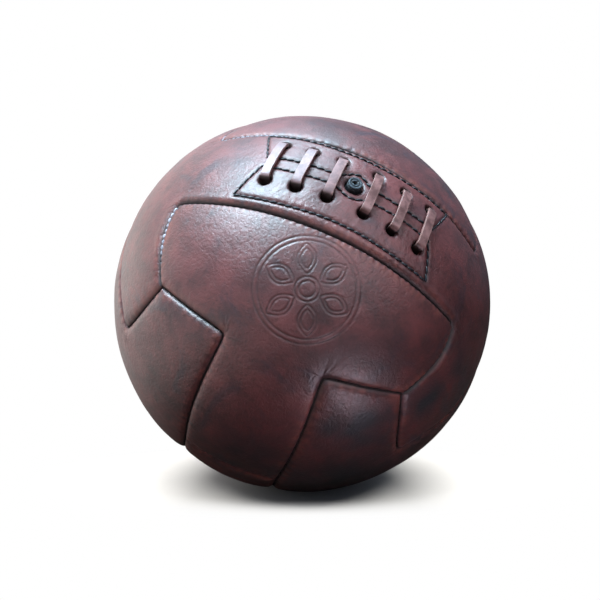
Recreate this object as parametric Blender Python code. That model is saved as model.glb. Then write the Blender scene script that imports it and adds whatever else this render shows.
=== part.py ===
"""Laced leather ball: a round, hand-sewn football case of T panels with a laced strip, a lined
inside and a rubber bladder with a plug valve.

The ball is modelled in its own frame and stands on its contact flat: +Z is up, the origin is the
ball's centre, and the laced face looks towards -Y, up and a little to +X. The case is laid out
like a cube: six faces, each with two bars and a centre strip, the strips of neighbouring faces
lying at right angles. A T panel is one bar (its head) and, folded over the cube's edge, half of
the next face's strip (its stem).

Directions below are in the case's own cube frame: x along the laced strip, y across it, and z out
through the middle of the laced face. Lengths are metres; angles are radians unless said otherwise.
"""

import math
from collections import namedtuple

import bmesh
import bpy
import numpy as np
from mathutils import Matrix, Vector

# ---- Driving dimensions -------------------------------------------------------------------------
BALL_RADIUS = 0.110  # a size 5 ball: 691 mm round
GAP = 0.0003  # clearance between neighbouring pieces

# How the resting ball is turned, in degrees: where the valve points, and the roll of the strip.
VALVE_AZIMUTH = 14.02  # from -Y towards +X
VALVE_ELEVATION = 35.21
LACING_ROLL = -29.4

# Case
LEATHER_THICKNESS = 0.0021
LINING_THICKNESS = 0.0009
GROOVE_HALF_WIDTH = 0.0016  # the V that the turned seam leaves at the surface
GROOVE_DEPTH = 0.0014
LINING_EDGE = 0.0012  # the lining stops this far short of the seam
SEAM_THREAD_RADIUS = 0.00042
SEAM_THREAD_DEPTH = 0.00055
SEAM_THREAD_END = 0.0018  # a thread stops this far short of the junction it ends at

# Seam layout on the unit sphere, per face: u runs along the bars, v across them, n outwards.
CORNER_U = 0.672  # a bar's inner corner is at (u, v, n)
CORNER_V = 0.220
CORNER_N = 0.707
MID_SEAM_SLOPE = 0.2505  # v / n of the strip's seams in the middle of a face
END_BOW = (0.030, 0.000, 0.065)  # how far bar ends bow outwards, on the x, y and z faces
STRIP_POWER = (1.2, 1.2, 2.0)  # how late a strip widens towards its ends, on the same faces
COLUMNS = 5  # cells from the middle of a bar to its end
STEM_COLUMNS = 2  # of which this many continue into the stem
ROWS = COLUMNS - STEM_COLUMNS  # cells across a bar

# Lacing, in arc lengths: x along the strip, y across it, from the strip's centre.
LACING_CENTRE_X = 0.0018
LACE_PITCH = 0.0155
VALVE_SPREAD = 0.00155  # each half of the strands moves this far out, away from the valve
STRANDS = 6
HOLE_ROWS_Y = (-0.0095, 0.0154)  # lower and upper
HOLE_RADIUS = 0.0028
LACE_WIDTH = 0.0045
LACE_THICKNESS = 0.0016
LACE_ROW_INSET = 0.0003  # the lace passes a hole this far nearer the strip's centre
LACE_TAIL = 0.011
TAIL_SHARES = ((0.1, 0.3), (0.4, 1.0))  # a tail's stations: shares of LACE_TAIL in x and in y
LACE_ARCH = 0.0025  # height of a strand's middle line over the leather
LACE_RISE = (  # a strand leaving its hole: distance in from the hole row, height over the leather
    (0.0, -0.0015),
    (0.0004, 0.0007),
    (0.0030, 0.0019),
)
# Hidden crossings from an upper hole to the next lower one: shares of the way along x and
# across y. The middle crossing keeps to one side of the valve.
STRAIGHT_CROSSING = ((0.12, 0.12), (0.5, 0.5), (0.88, 0.88))
VALVE_CROSSING = ((0.04, 0.20), (0.10, 0.50), (0.24, 0.78), (0.60, 0.93), (0.86, 0.98))

# Lip patches and their stitches
LIP_CENTRE = (0.0012, 0.0015)  # the middle of the stitched outline
LIP_LENGTH = 0.0523  # half length of the stitched outline
LIP_WIDTH = 0.0223  # half width of the stitched outline
NOTCH_DEPTH = 0.0078  # how far the V notch at each end goes in
CENTRE_STITCH_Y = 0.0035
VALVE_BULGE = 0.0078  # the centre stitches part this far round the valve
BULGE_REACH = 0.0105  # and do so within this distance of it along x
VALVE_LIFT = 0.0009  # and their middle line moves towards +y by this much
LIP_THREAD_RADIUS = 0.00035
LIP_MARGIN = 0.0022  # patch leather outside its stitches
LIP_THICKNESS = 0.0014
LIP_COLUMNS = 12
LIP_ROWS = 3

TONGUE_THICKNESS = 0.0012
TONGUE_HALF = (0.056, 0.0195)  # half length and half width
TONGUE_COLUMNS = 12
TONGUE_ROWS = 4

# Valve
VALVE_X = 0.0020
VALVE_Y = 0.0024
VALVE_HOLE_RADIUS = 0.0050
HOUSING_RADIUS = 0.0037
HOUSING_TOP = 0.0012  # over the ball's surface
HOUSING_CHAMFER = 0.0003
HOUSING_BORE = 0.0018  # radius
FLANGE_RADIUS = 0.0090
FLANGE_THICKNESS = 0.0012
FLANGE_ROOM = 0.0009  # between the flange and the bladder wall above it
CORE_HEAD_RADIUS = 0.0032
CORE_HEAD_THICKNESS = 0.0012
CORE_HEAD_CHAMFER = 0.0004
CORE_STEM_RADIUS = 0.0015
CORE_STEM_LENGTH = 0.0125
CORE_STEM_CHAMFER = 0.0005
NEEDLE_HOLE_RADIUS = 0.0004
NEEDLE_DIMPLE_RADIUS = 0.0010
NEEDLE_DIMPLE_DEPTH = 0.0010
CUTTER_OVERSHOOT = 0.004  # hole cutters reach this far past the sheets
LACE_CUTTER_ROOM = 0.0006  # the lace hole cutter stops this far outside the tongue

# Bladder
BLADDER_THICKNESS = 0.0009
BLADDER_SEGMENTS = 20
NECK_CLEARANCE = 0.0005  # between the bladder's neck hole and the valve housing
# Rings from the neck to the far pole, as polar angles in degrees along and across the strip.
DENTED_RINGS = [(9.0, 7.0), (19.0, 11.5), (30.0, 15.5), (40.0, 19.0)]
ROUND_RINGS = [
    (47.0, 27.0), (55.0, 39.0), (65.0, 54.0), (77.0, 71.0), (90.0, 88.0),
    (104.0, 104.0), (119.0, 119.0), (134.0, 134.0), (149.0, 149.0), (164.0, 164.0),
]

# Contact flat
CONTACT_FLAT_DEPTH = 0.0001  # the leather gives this much under the ball's weight
CONTACT_FLAT_RADIUS = 0.0046
PAD_DEPTH = 0.0013  # the pad reaches this far under the ball's surface
FLOOR_RADIUS = 0.03
FLOOR_REACH = 0.01  # the floor cutter ends this far outside the ball

# Edges sharper than this are shaded sharp, in degrees.
SOLID_SHARP_ANGLE = 35.0
SWEEP_SHARP_ANGLE = 60.0

# Limits on mitres: the least cosine between a corner's bisector and its side.
INSET_MITRE_LIMIT = 0.4
SWEEP_MITRE_LIMIT = 0.5

# ---- The stack of layers under the laced strip, outside in, as radii ----------------------------
LEATHER_INNER = BALL_RADIUS - LEATHER_THICKNESS
LINING_OUTER = LEATHER_INNER - GAP
LINING_INNER = LINING_OUTER - LINING_THICKNESS
FACET_ROOM = 0.0011  # flat cells of the shells dip inwards by up to this
LAYER_ROOM = 0.0005  # between the lips and the lace, and between the tongue and the bladder
BLADDER_OUTER = LINING_INNER - FACET_ROOM
LIP_OUTER = LINING_INNER - FACET_ROOM
LIP_INNER = LIP_OUTER - LIP_THICKNESS
LACE_UNDER = LIP_INNER - LAYER_ROOM - LACE_THICKNESS / 2  # middle of the hidden lace
TONGUE_OUTER = LACE_UNDER - LACE_THICKNESS / 2 - GAP
TONGUE_INNER = TONGUE_OUTER - TONGUE_THICKNESS
BLADDER_DENT = TONGUE_INNER - LAYER_ROOM

# (face, side along the face's axis, side across it): which bar a T panel holds.
T_PANELS = {
    "front_panel": (2, 1, -1),
    "top_panel": (2, 1, 1),
    "left_front_panel": (1, -1, -1),
    "lower_front_panel": (1, -1, 1),
    "upper_rear_panel": (1, 1, -1),
    "right_rear_panel": (1, 1, 1),
    "left_rear_panel": (0, -1, -1),
    "lower_right_panel": (0, 1, -1),
    "rear_panel": (2, -1, 1),
    "bottom_panel": (2, -1, -1),
}
# The two T panels whose stems meet in the laced strip are one piece.
LACING_PANEL_PARTS = ((0, -1, 1), (0, 1, 1))

# ---- Finishes -----------------------------------------------------------------------------------
Finish = namedtuple("Finish", "name colour roughness")

CASE_LEATHER = Finish("case_leather", colour=(0.130, 0.045, 0.038), roughness=0.45)
LACE_LEATHER = Finish("lace_leather", colour=(0.210, 0.085, 0.072), roughness=0.60)
INNER_LEATHER = Finish("inner_leather", colour=(0.300, 0.190, 0.110), roughness=0.80)
COTTON = Finish("lining_cotton", colour=(0.620, 0.560, 0.440), roughness=0.95)
BLACK_THREAD = Finish("black_thread", colour=(0.015, 0.018, 0.022), roughness=0.45)
WAXED_THREAD = Finish("waxed_thread", colour=(0.100, 0.065, 0.045), roughness=0.60)
VALVE_RUBBER = Finish("valve_rubber", colour=(0.020, 0.026, 0.032), roughness=0.40)
CORE_RUBBER = Finish("core_rubber", colour=(0.045, 0.065, 0.080), roughness=0.45)
BLADDER_RUBBER = Finish("bladder_rubber", colour=(0.025, 0.022, 0.020), roughness=0.55)


def add_material(piece_name, finish):
    """A piece's own material in this finish."""
    mat = bpy.data.materials.new(f"{piece_name}_{finish.name}")
    mat.use_nodes = True
    shader = mat.node_tree.nodes["Principled BSDF"]
    shader.inputs["Base Color"].default_value = (*finish.colour, 1.0)
    shader.inputs["Roughness"].default_value = finish.roughness
    mat.diffuse_color = (*finish.colour, 1.0)
    return mat


# ---- Scene and frames ---------------------------------------------------------------------------
def add_frame(name):
    frame = bpy.data.objects.new(name, None)
    bpy.context.scene.collection.objects.link(frame)
    return frame


for stale in list(bpy.data.objects):
    bpy.data.objects.remove(stale)

ball_turn = (
    Matrix.Rotation(math.radians(VALVE_AZIMUTH), 4, "Z")
    @ Matrix.Rotation(math.radians(-VALVE_ELEVATION), 4, "X")
    @ Matrix.Rotation(math.radians(90), 4, "X")
    @ Matrix.Rotation(math.radians(LACING_ROLL), 4, "Z")
)
ball_frame = add_frame("ball_frame")
ball_frame.matrix_world = ball_turn


# ---- Mesh helpers -------------------------------------------------------------------------------
def add_object(name, points, faces, finish, sharp_angle=SOLID_SHARP_ANGLE, parent=ball_frame):
    """A closed mesh as its own object, facing outwards, with a material of its own."""
    bm = bmesh.new()
    verts = [bm.verts.new(point) for point in points]
    for face in faces:
        bm.faces.new([verts[i] for i in face])
    bmesh.ops.recalc_face_normals(bm, faces=bm.faces)
    if bm.calc_volume(signed=True) < 0:
        bmesh.ops.reverse_faces(bm, faces=bm.faces)
    mesh = bpy.data.meshes.new(name)
    bm.to_mesh(mesh)
    bm.free()
    mesh.shade_smooth()
    mesh.set_sharp_from_angle(angle=math.radians(sharp_angle))
    obj = bpy.data.objects.new(name, mesh)
    bpy.context.scene.collection.objects.link(obj)
    obj.parent = parent
    if finish:
        mesh.materials.append(add_material(name, finish))
    return obj


def add_cutter(name, points, faces):
    """A helper solid for booleans, left out of renders."""
    obj = add_object(name, points, faces, None)
    obj.hide_render = True
    obj.display_type = "WIRE"
    return obj


def add_boolean(obj, other, operation):
    mod = obj.modifiers.new(other.name, "BOOLEAN")
    mod.operation = operation
    mod.solver = "EXACT"
    mod.object = other


def unit(vector):
    vector = np.asarray(vector, float)
    return vector / np.linalg.norm(vector, axis=-1, keepdims=True)


def rounded_key(point, scale):
    """A dictionary key that is the same for points that coincide to about 1 / scale."""
    return tuple(int(round(c * scale)) for c in point)


def band(first, second):
    """Quads between two closed rings of point numbers."""
    count = len(first)
    faces = []
    for s in range(count):
        t = (s + 1) % count
        faces.append([first[s], first[t], second[t], second[s]])
    return faces


def prism(start, end, radius, sides):
    """Points and faces of a straight round bar between two points."""
    axis = unit(end - start)
    helper = [0.0, 1.0, 0.0] if abs(axis[1]) < 0.9 else [1.0, 0.0, 0.0]
    first = unit(np.cross(axis, helper))
    second = np.cross(axis, first)
    points = []
    for centre in (start, end):
        for s in range(sides):
            angle = 2 * math.pi * (s + 0.5) / sides
            points.append(centre + radius * (math.cos(angle) * first + math.sin(angle) * second))
    start_ring = list(range(sides))
    end_ring = list(range(sides, 2 * sides))
    return points, band(start_ring, end_ring) + [start_ring[::-1], end_ring]


# ---- Shells: curved sheets from grids of directions ---------------------------------------------
def split_cells(points, cells):
    """The cells with their corners anticlockwise, seen from outside, and each cut in two along its
    shorter diagonal, so that nested sheets have their folds at the same places."""
    halves = []
    for cell in cells:
        a, b, c, d = (points[i] for i in cell)
        if np.dot(np.cross(c - a, d - b), a + b + c + d) < 0:
            cell = cell[::-1]
            a, b, c, d = d, c, b, a
        p, q, r, s = cell
        if np.linalg.norm(c - a) < np.linalg.norm(d - b) + 1e-6:
            halves += [[p, q, r], [p, r, s]]
        else:
            halves += [[p, q, s], [q, r, s]]
    return halves


def outline(cells):
    """The outer edge of a grid as a closed list of point numbers, anticlockwise from outside."""
    edges = {(cell[k], cell[(k + 1) % len(cell)]) for cell in cells for k in range(len(cell))}
    after = {start: end for start, end in edges if (end, start) not in edges}
    first = min(after)
    loop = [first]
    while after[loop[-1]] != first:
        loop.append(after[loop[-1]])
    return loop


def inset(points, loop, angle):
    """The outline's points moved inwards along the sphere, with mitred corners."""
    moved = []
    for k, number in enumerate(loop):
        before = points[loop[k - 1]]
        here = points[number]
        after = points[loop[(k + 1) % len(loop)]]
        inward_before = unit(np.cross(here, here - before))
        inward_after = unit(np.cross(here, after - here))
        middle = unit(inward_before + inward_after)
        cosine = max(INSET_MITRE_LIMIT, float(middle @ inward_before))
        moved.append(unit(here + middle * angle / cosine))
    return moved


def shell(name, grid, rings, finish):
    """A curved sheet from a grid of directions. rings lists (radius, inset from the grid's edge)
    from the outer face round the edge to the inner face."""
    directions, cells = grid
    cells = split_cells(directions, cells)
    loop = outline(cells)
    interior = [i for i in range(len(directions)) if i not in set(loop)]
    points, faces, edge_rings = [], [], []
    for radius, distance in rings:
        edge_rings.append(list(range(len(points), len(points) + len(loop))))
        points += [way * radius for way in inset(directions, loop, distance / BALL_RADIUS)]
    for which, flip in ((0, False), (-1, True)):
        local = dict(zip(loop, edge_rings[which]))
        for i in interior:
            local[i] = len(points)
            points.append(directions[i] * rings[which][0])
        for cell in cells:
            corners = [local[i] for i in cell]
            faces.append(corners[::-1] if flip else corners)
    for upper, lower in zip(edge_rings, edge_rings[1:]):
        faces += band(lower, upper)
    return add_object(name, points, faces, finish)


# ---- Seam curves of one face, in its own u, v, n directions -------------------------------------
CUBE_EDGE_ANGLE = math.pi / 4
U_END = CORNER_U / CORNER_N
V_END = CORNER_V / CORNER_N
U_END_ANGLE = math.atan(U_END)
V_END_ANGLE = math.atan(V_END)


def face_direction(face, u, v, n):
    """The unit direction at (u, v, n) of the face across the cube's axis number `face`."""
    direction = np.zeros(3)
    direction[(face + 1) % 3] = u
    direction[(face + 2) % 3] = v
    direction[face] = n
    return unit(direction)


def cell_angle(i):
    """Angle from a face's middle line to column i of a bar: even steps over the stem, then even
    steps to the cube's edge."""
    k = abs(i)
    if k <= STEM_COLUMNS:
        angle = V_END_ANGLE * k / STEM_COLUMNS
    else:
        angle = V_END_ANGLE + (CUBE_EDGE_ANGLE - V_END_ANGLE) * (k - STEM_COLUMNS) / ROWS
    return math.copysign(angle, i) if i else 0.0


def strip_angle(i):
    """Angle along u of a bar's column i where it meets the centre strip."""
    return cell_angle(i) * U_END_ANGLE / CUBE_EDGE_ANGLE


def strip_slope(face, angle):
    """v / n of the seam beside a face's centre strip, at this angle along u."""
    share = abs(angle) / U_END_ANGLE
    return MID_SEAM_SLOPE + (V_END - MID_SEAM_SLOPE) * share ** STRIP_POWER[face]


def corner_share(angle):
    """How far an angle across a face is on its way from the inner corner to the cube's edge."""
    return (abs(angle) - V_END_ANGLE) / (CUBE_EDGE_ANGLE - V_END_ANGLE)


def bar_end(face, angle):
    """u / n of the seam at a bar's end, at this angle of v: from the inner corner out to the
    cube's corner."""
    share = corner_share(angle)
    return U_END + (1 - U_END) * share + END_BOW[face] * 4 * share * (1 - share)


def bar_edges(face, next_face):
    """A bar's two long edges by column: beside its own strip, and on the stem's side."""
    strip_edge, stem_edge = {}, {}
    for i in range(-COLUMNS, COLUMNS + 1):
        along = strip_angle(i)
        strip_edge[i] = unit([math.tan(along), strip_slope(face, along), 1])
        angle = cell_angle(i)
        if abs(i) >= STEM_COLUMNS:
            stem_edge[i] = unit([math.tan(angle), 1, bar_end(next_face, angle)])
        else:
            stem_edge[i] = unit([V_END * i / STEM_COLUMNS, 1, U_END])
    return strip_edge, stem_edge


def t_panel_grid(face, side_n, side_v):
    """Unit directions and cells of one T panel: a bar on this face, and a stem that folds over
    onto the next."""
    next_face = (face + 2) % 3  # the face whose centre strip the stem fills
    directions = {}  # by column and row

    def put(i, j, along, towards_stem, outwards):
        directions[i, j] = face_direction(face, along, towards_stem * side_v, outwards * side_n)

    # The bar is blended from its four edges.
    low, high = bar_edges(face, next_face)
    for j in range(ROWS + 1):
        angle = cell_angle(STEM_COLUMNS + j)
        v = corner_share(angle)
        left, right = (
            unit([side * bar_end(face, angle), math.tan(angle), 1]) for side in (-1, 1)
        )
        for i in range(-COLUMNS, COLUMNS + 1):
            u = (cell_angle(i) + CUBE_EDGE_ANGLE) / (2 * CUBE_EDGE_ANGLE)
            blend = (
                (1 - v) * low[i]
                + v * high[i]
                + (1 - u) * left
                + u * right
                - (1 - u) * (1 - v) * low[-COLUMNS]
                - u * (1 - v) * low[COLUMNS]
                - (1 - u) * v * high[-COLUMNS]
                - u * v * high[COLUMNS]
            )
            put(i, j, *blend)

    for j in range(1, COLUMNS + 1):
        angle = strip_angle(COLUMNS - j)
        for i in range(-STEM_COLUMNS, STEM_COLUMNS + 1):
            across = strip_slope(next_face, angle) * i / STEM_COLUMNS
            put(i, ROWS + j, across, 1, math.tan(angle))

    index = {key: number for number, key in enumerate(directions)}
    cells = []
    for i, j in index:
        corners = [index.get(key) for key in ((i, j), (i + 1, j), (i + 1, j + 1), (i, j + 1))]
        if None not in corners:
            cells.append(corners)
    return np.array(list(directions.values())), cells


def welded(grids):
    """Several grids as one, with points that coincide made one."""
    points, cells, index = [], [], {}
    for grid_points, grid_cells in grids:
        numbers = []
        for point in grid_points:
            key = rounded_key(point, 1e5)
            if key not in index:
                index[key] = len(points)
                points.append(point)
            numbers.append(index[key])
        cells += [[numbers[i] for i in cell] for cell in grid_cells]
    return np.array(points), cells


# ---- Case: eleven leather panels, each with its lining ------------------------------------------
def build_case():
    """The panels and the linings, each by panel name."""
    grids = {name: t_panel_grid(*place) for name, place in T_PANELS.items()}
    grids["lacing_panel"] = welded([t_panel_grid(*place) for place in LACING_PANEL_PARTS])
    leather_rings = [
        (BALL_RADIUS, GROOVE_HALF_WIDTH),
        (BALL_RADIUS - GROOVE_DEPTH, GAP / 2),
        (LEATHER_INNER, GAP / 2),
    ]
    lining_rings = [(LINING_OUTER, LINING_EDGE), (LINING_INNER, LINING_EDGE)]
    panels = {
        name: shell(name, grid, leather_rings, CASE_LEATHER) for name, grid in grids.items()
    }
    linings = {
        name: shell(name.replace("_panel", "_lining"), grid, lining_rings, COTTON)
        for name, grid in grids.items()
    }
    return panels, linings


# ---- Sweeps: threads and lace -------------------------------------------------------------------
def sweep(name, rings, finish, closed=False):
    """A bar of four sides through rings of four corners."""
    numbers = [list(range(4 * k, 4 * k + 4)) for k in range(len(rings))]
    faces = []
    for here, after in zip(numbers, numbers[1:]):
        faces += band(here, after)
    if closed:
        faces += band(numbers[-1], numbers[0])
    else:
        faces += [numbers[0], numbers[-1][::-1]]
    points = [corner for ring in rings for corner in ring]
    return add_object(name, points, faces, finish, SWEEP_SHARP_ANGLE)


def mitred_frames(path, closed):
    """At each point of a path over the sphere: the direction across it, lengthened at corners,
    and the way out."""
    frames = []
    count = len(path)
    for k, here in enumerate(path):
        out = unit(here)
        sides = []
        if closed or k:
            sides.append(unit(np.cross(out, here - path[k - 1])))
        if closed or k < count - 1:
            sides.append(unit(np.cross(out, path[(k + 1) % count] - here)))
        middle = unit(sum(sides))
        frames.append((middle / max(SWEEP_MITRE_LIMIT, float(middle @ sides[0])), out))
    return frames


def add_thread(name, path, radius, finish, closed=False):
    """A thread of diamond section along a path over the sphere."""
    rings = []
    for point, (across, out) in zip(path, mitred_frames(path, closed)):
        side, up = across * radius, out * radius
        rings.append([point + side, point + up, point - side, point - up])
    sweep(name, rings, finish, closed)


# ---- Seam threads: the seam lines, sewn in as few lengths of thread as their graph allows -------
def quarter_seam(face, side_n, side_u, side_v):
    """The seam in one quarter of a face: from the cube's corner along the bar's end to the inner
    corner, then beside the strip to the middle."""
    line = []
    for j in range(ROWS, 0, -1):
        angle = cell_angle(STEM_COLUMNS + j)
        u, v = side_u * bar_end(face, angle), side_v * math.tan(angle)
        line.append(face_direction(face, u, v, side_n))
    for i in range(COLUMNS, -1, -1):
        angle = strip_angle(i)
        u, v = side_u * math.tan(angle), side_v * strip_slope(face, angle)
        line.append(face_direction(face, u, v, side_n))
    return line


def seam_lines():
    """Every seam as a list of unit directions, from one junction to the next."""
    lines = []
    for face in range(3):
        for side_n in (-1, 1):
            quarters = {
                (side_u, side_v): quarter_seam(face, side_n, side_u, side_v)
                for side_u in (-1, 1)
                for side_v in (-1, 1)
            }
            if face == 2 and side_n == 1:
                # The laced face has no seam across its strip, so its quarters run on.
                for side_v in (-1, 1):
                    lines.append(quarters[-1, side_v] + quarters[1, side_v][::-1][1:])
            else:
                lines += list(quarters.values())
                lines.append(
                    [
                        face_direction(face, 0, MID_SEAM_SLOPE * i / STEM_COLUMNS, side_n)
                        for i in range(-STEM_COLUMNS, STEM_COLUMNS + 1)
                    ]
                )
    return lines


def sewing_runs(lines):
    """The seam lines joined end to end into runs: each run starts at a junction with an odd number
    of seams left, if there is one, and goes on by the straightest seam until none is left."""

    def junction(point):
        return rounded_key(point, 1e4)

    def from_end(seam):
        number, end = seam
        return lines[number] if end == 0 else lines[number][::-1]

    def straightness(seam):
        if not run:
            return 0.0
        line = from_end(seam)
        return float(unit(line[1] - line[0]) @ unit(run[-1] - run[-2]))

    left = {}  # at each junction, the seams not yet sewn as (line number, end 0 or -1)
    for number, line in enumerate(lines):
        for end in (0, -1):
            left.setdefault(junction(line[end]), []).append((number, end))

    runs = []
    while any(left.values()):
        odd = [key for key, seams in left.items() if len(seams) % 2]
        here = min(odd or [key for key, seams in left.items() if seams])
        run = []
        while left[here]:
            seam = max(left[here], key=straightness)
            line = from_end(seam)
            far = junction(line[-1])
            number, end = seam
            left[here].remove(seam)
            left[far].remove((number, -1 - end))
            run += line[1:] if run else line
            here = far
        runs.append(run)
    return runs


def shortened(path, distance):
    """A path with both ends cut back by a distance, at most 0.45 of the end step."""
    path = list(path)
    for _ in range(2):
        step = path[1] - path[0]
        path[0] = path[0] + step * min(0.45, distance / float(np.linalg.norm(step)))
        path.reverse()
    return path


def build_seam_threads():
    radius = BALL_RADIUS - SEAM_THREAD_DEPTH
    for number, run in enumerate(sewing_runs(seam_lines()), 1):
        path = shortened([way * radius for way in run], SEAM_THREAD_END)
        add_thread(f"seam_thread_{number}", path, SEAM_THREAD_RADIUS, WAXED_THREAD)


# ---- Places on the laced strip ------------------------------------------------------------------
def on_strip(x, y, radius):
    """The point at arc lengths x along and y across the strip, at this radius."""
    a, b = x / BALL_RADIUS, y / BALL_RADIUS
    return radius * np.array(
        [math.sin(a) * math.cos(b), math.sin(b), math.cos(a) * math.cos(b)]
    )


def strand_x(k):
    place = k - (STRANDS - 1) / 2
    return LACING_CENTRE_X + place * LACE_PITCH + math.copysign(VALVE_SPREAD, place)


def strip_sheet(name, columns, outer, inner, finish):
    """A sheet that follows the ball under the strip, from columns of (x, y) places."""
    points = np.array([on_strip(x, y, 1.0) for column in columns for x, y in column])
    rows = len(columns[0])
    cells = []
    for c in range(len(columns) - 1):
        for r in range(rows - 1):
            k = c * rows + r
            cells.append([k, k + rows, k + rows + 1, k + 1])
    return shell(name, (points, cells), [(outer, 0.0), (inner, 0.0)], finish)


def build_lace_hole_cutter():
    """One solid bar for every lace hole, from just outside the tongue to outside the ball."""
    points, faces = [], []
    for k in range(STRANDS):
        for row_y in HOLE_ROWS_Y:
            start = on_strip(strand_x(k), row_y, TONGUE_OUTER + LACE_CUTTER_ROOM)
            end = on_strip(strand_x(k), row_y, BALL_RADIUS + CUTTER_OVERSHOOT)
            bar_points, bar_faces = prism(start, end, HOLE_RADIUS, 12)
            faces += [[i + len(points) for i in face] for face in bar_faces]
            points += bar_points
    return add_cutter("lace_hole_cutter", points, faces)


def build_valve_hole_cutter():
    start = on_strip(VALVE_X, VALVE_Y, BLADDER_DENT - CUTTER_OVERSHOOT)
    end = on_strip(VALVE_X, VALVE_Y, BALL_RADIUS + CUTTER_OVERSHOOT)
    return add_cutter("valve_hole_cutter", *prism(start, end, VALVE_HOLE_RADIUS, 20))


# ---- Lip patches: one on each side of the strip's centre line -----------------------------------
def build_lip_patch(name, side):
    """The outline of the stitches plus a margin."""
    inner_y = CENTRE_STITCH_Y - LIP_MARGIN
    outer_y = LIP_WIDTH + LIP_MARGIN
    ys = [side * (inner_y + (outer_y - inner_y) * k / LIP_ROWS) for k in range(LIP_ROWS + 1)]
    columns = []
    for c in range(LIP_COLUMNS + 1):
        column = []
        for y in ys:
            # The ends slant in towards the centre line, which leaves the V notch.
            share = (abs(y) - CENTRE_STITCH_Y) / (LIP_WIDTH - CENTRE_STITCH_Y)
            half_length = LIP_LENGTH + LIP_MARGIN - NOTCH_DEPTH * (1 - share)
            x = (2 * c / LIP_COLUMNS - 1) * half_length
            column.append((LIP_CENTRE[0] + x, LIP_CENTRE[1] + y))
        columns.append(column)
    return strip_sheet(name, columns, LIP_OUTER, LIP_INNER, INNER_LEATHER)


def slanted_end(start, end):
    """The two places at thirds of the way between two corners."""
    return [
        (start[0] + (end[0] - start[0]) * k / 3, start[1] + (end[1] - start[1]) * k / 3)
        for k in (1, 2)
    ]


def build_lip_thread(name, side):
    """One closed line of stitches: outer edge, slanted end, centre line with its bulge round the
    valve, slanted end."""
    inner_x = LIP_LENGTH - NOTCH_DEPTH
    outer_y, centre_y = side * LIP_WIDTH, side * CENTRE_STITCH_Y
    places = [(-LIP_LENGTH + 2 * LIP_LENGTH * k / 12, outer_y) for k in range(13)]
    places += slanted_end((LIP_LENGTH, outer_y), (inner_x, centre_y))
    for k in range(19):
        x = inner_x - 2 * inner_x * k / 18
        reach = min(abs(LIP_CENTRE[0] + x - VALVE_X) / BULGE_REACH, 1.0)
        nearness = (math.cos(reach * math.pi) + 1) / 2
        bulge = (VALVE_BULGE - CENTRE_STITCH_Y) * nearness
        places.append((x, side * (CENTRE_STITCH_Y + bulge) + VALVE_LIFT * nearness))
    places += slanted_end((-inner_x, centre_y), (-LIP_LENGTH, outer_y))
    radius = BALL_RADIUS + GAP + LIP_THREAD_RADIUS
    path = [on_strip(LIP_CENTRE[0] + x, LIP_CENTRE[1] + y, radius) for x, y in places]
    add_thread(name, path, LIP_THREAD_RADIUS, BLACK_THREAD, closed=True)


# ---- Lace ---------------------------------------------------------------------------------------
def lace_stations():
    """The lace's middle line as (x, y, height over the leather): up through a lower hole, over the
    strip, down through the upper hole and back underneath to the next lower hole."""
    under = LACE_UNDER - BALL_RADIUS
    low = HOLE_ROWS_Y[0] + LACE_ROW_INSET
    high = HOLE_ROWS_Y[1] - LACE_ROW_INSET
    span = high - low
    rise = [(0.0, under), *LACE_RISE, (span / 4, LACE_ARCH)]

    def tail(x, y, side):
        """A tail's stations, from its hole outwards; side is its direction along x."""
        return [
            (x + side * share_x * LACE_TAIL, y - side * share_y * LACE_TAIL, under)
            for share_x, share_y in TAIL_SHARES
        ]

    stations = tail(strand_x(0), low, -1)[::-1]
    for k in range(STRANDS):
        x = strand_x(k)
        stations += [(x, low + inward, height) for inward, height in rise]
        stations += [(x, high - inward, height) for inward, height in reversed(rise)]
        if k < STRANDS - 1:
            step = strand_x(k + 1) - x
            crossing = VALVE_CROSSING if k == STRANDS // 2 - 1 else STRAIGHT_CROSSING
            stations += [
                (x + step * share_x, high - span * share_y, under)
                for share_x, share_y in crossing
            ]
    return stations + tail(strand_x(STRANDS - 1), high, 1)


def build_lace():
    """A flat band through the stations."""
    stations = lace_stations()
    path = [on_strip(x, y, BALL_RADIUS + height) for x, y, height in stations]
    last = len(path) - 1
    rings = []
    for k, (point, (x, _, height)) in enumerate(zip(path, stations)):
        way = unit(path[min(k + 1, last)] - path[max(k - 1, 0)])
        across = np.array([math.cos(x / BALL_RADIUS), 0.0, -math.sin(x / BALL_RADIUS)])
        out = unit(point)
        if abs(float(way @ out)) < 0.35:
            # Where the band runs level its thickness lies along the radius, and its outer face
            # turns inwards under the strip.
            up = out if height > 0 else -out
        else:
            up = unit(np.cross(across, way))
        side, top = across * (LACE_WIDTH / 2), up * (LACE_THICKNESS / 2)
        rings.append(
            [point + side + top, point - side + top, point - side - top, point + side - top]
        )
    sweep("lace", rings, LACE_LEATHER)


def build_tongue():
    """A soft flap between the lace's crossings and the bladder."""
    half_x, half_y = TONGUE_HALF
    columns = [
        [
            (half_x * (2 * c / TONGUE_COLUMNS - 1), VALVE_Y + half_y * (2 * r / TONGUE_ROWS - 1))
            for r in range(TONGUE_ROWS + 1)
        ]
        for c in range(TONGUE_COLUMNS + 1)
    ]
    return strip_sheet("lacing_tongue", columns, TONGUE_OUTER, TONGUE_INNER, INNER_LEATHER)


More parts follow.
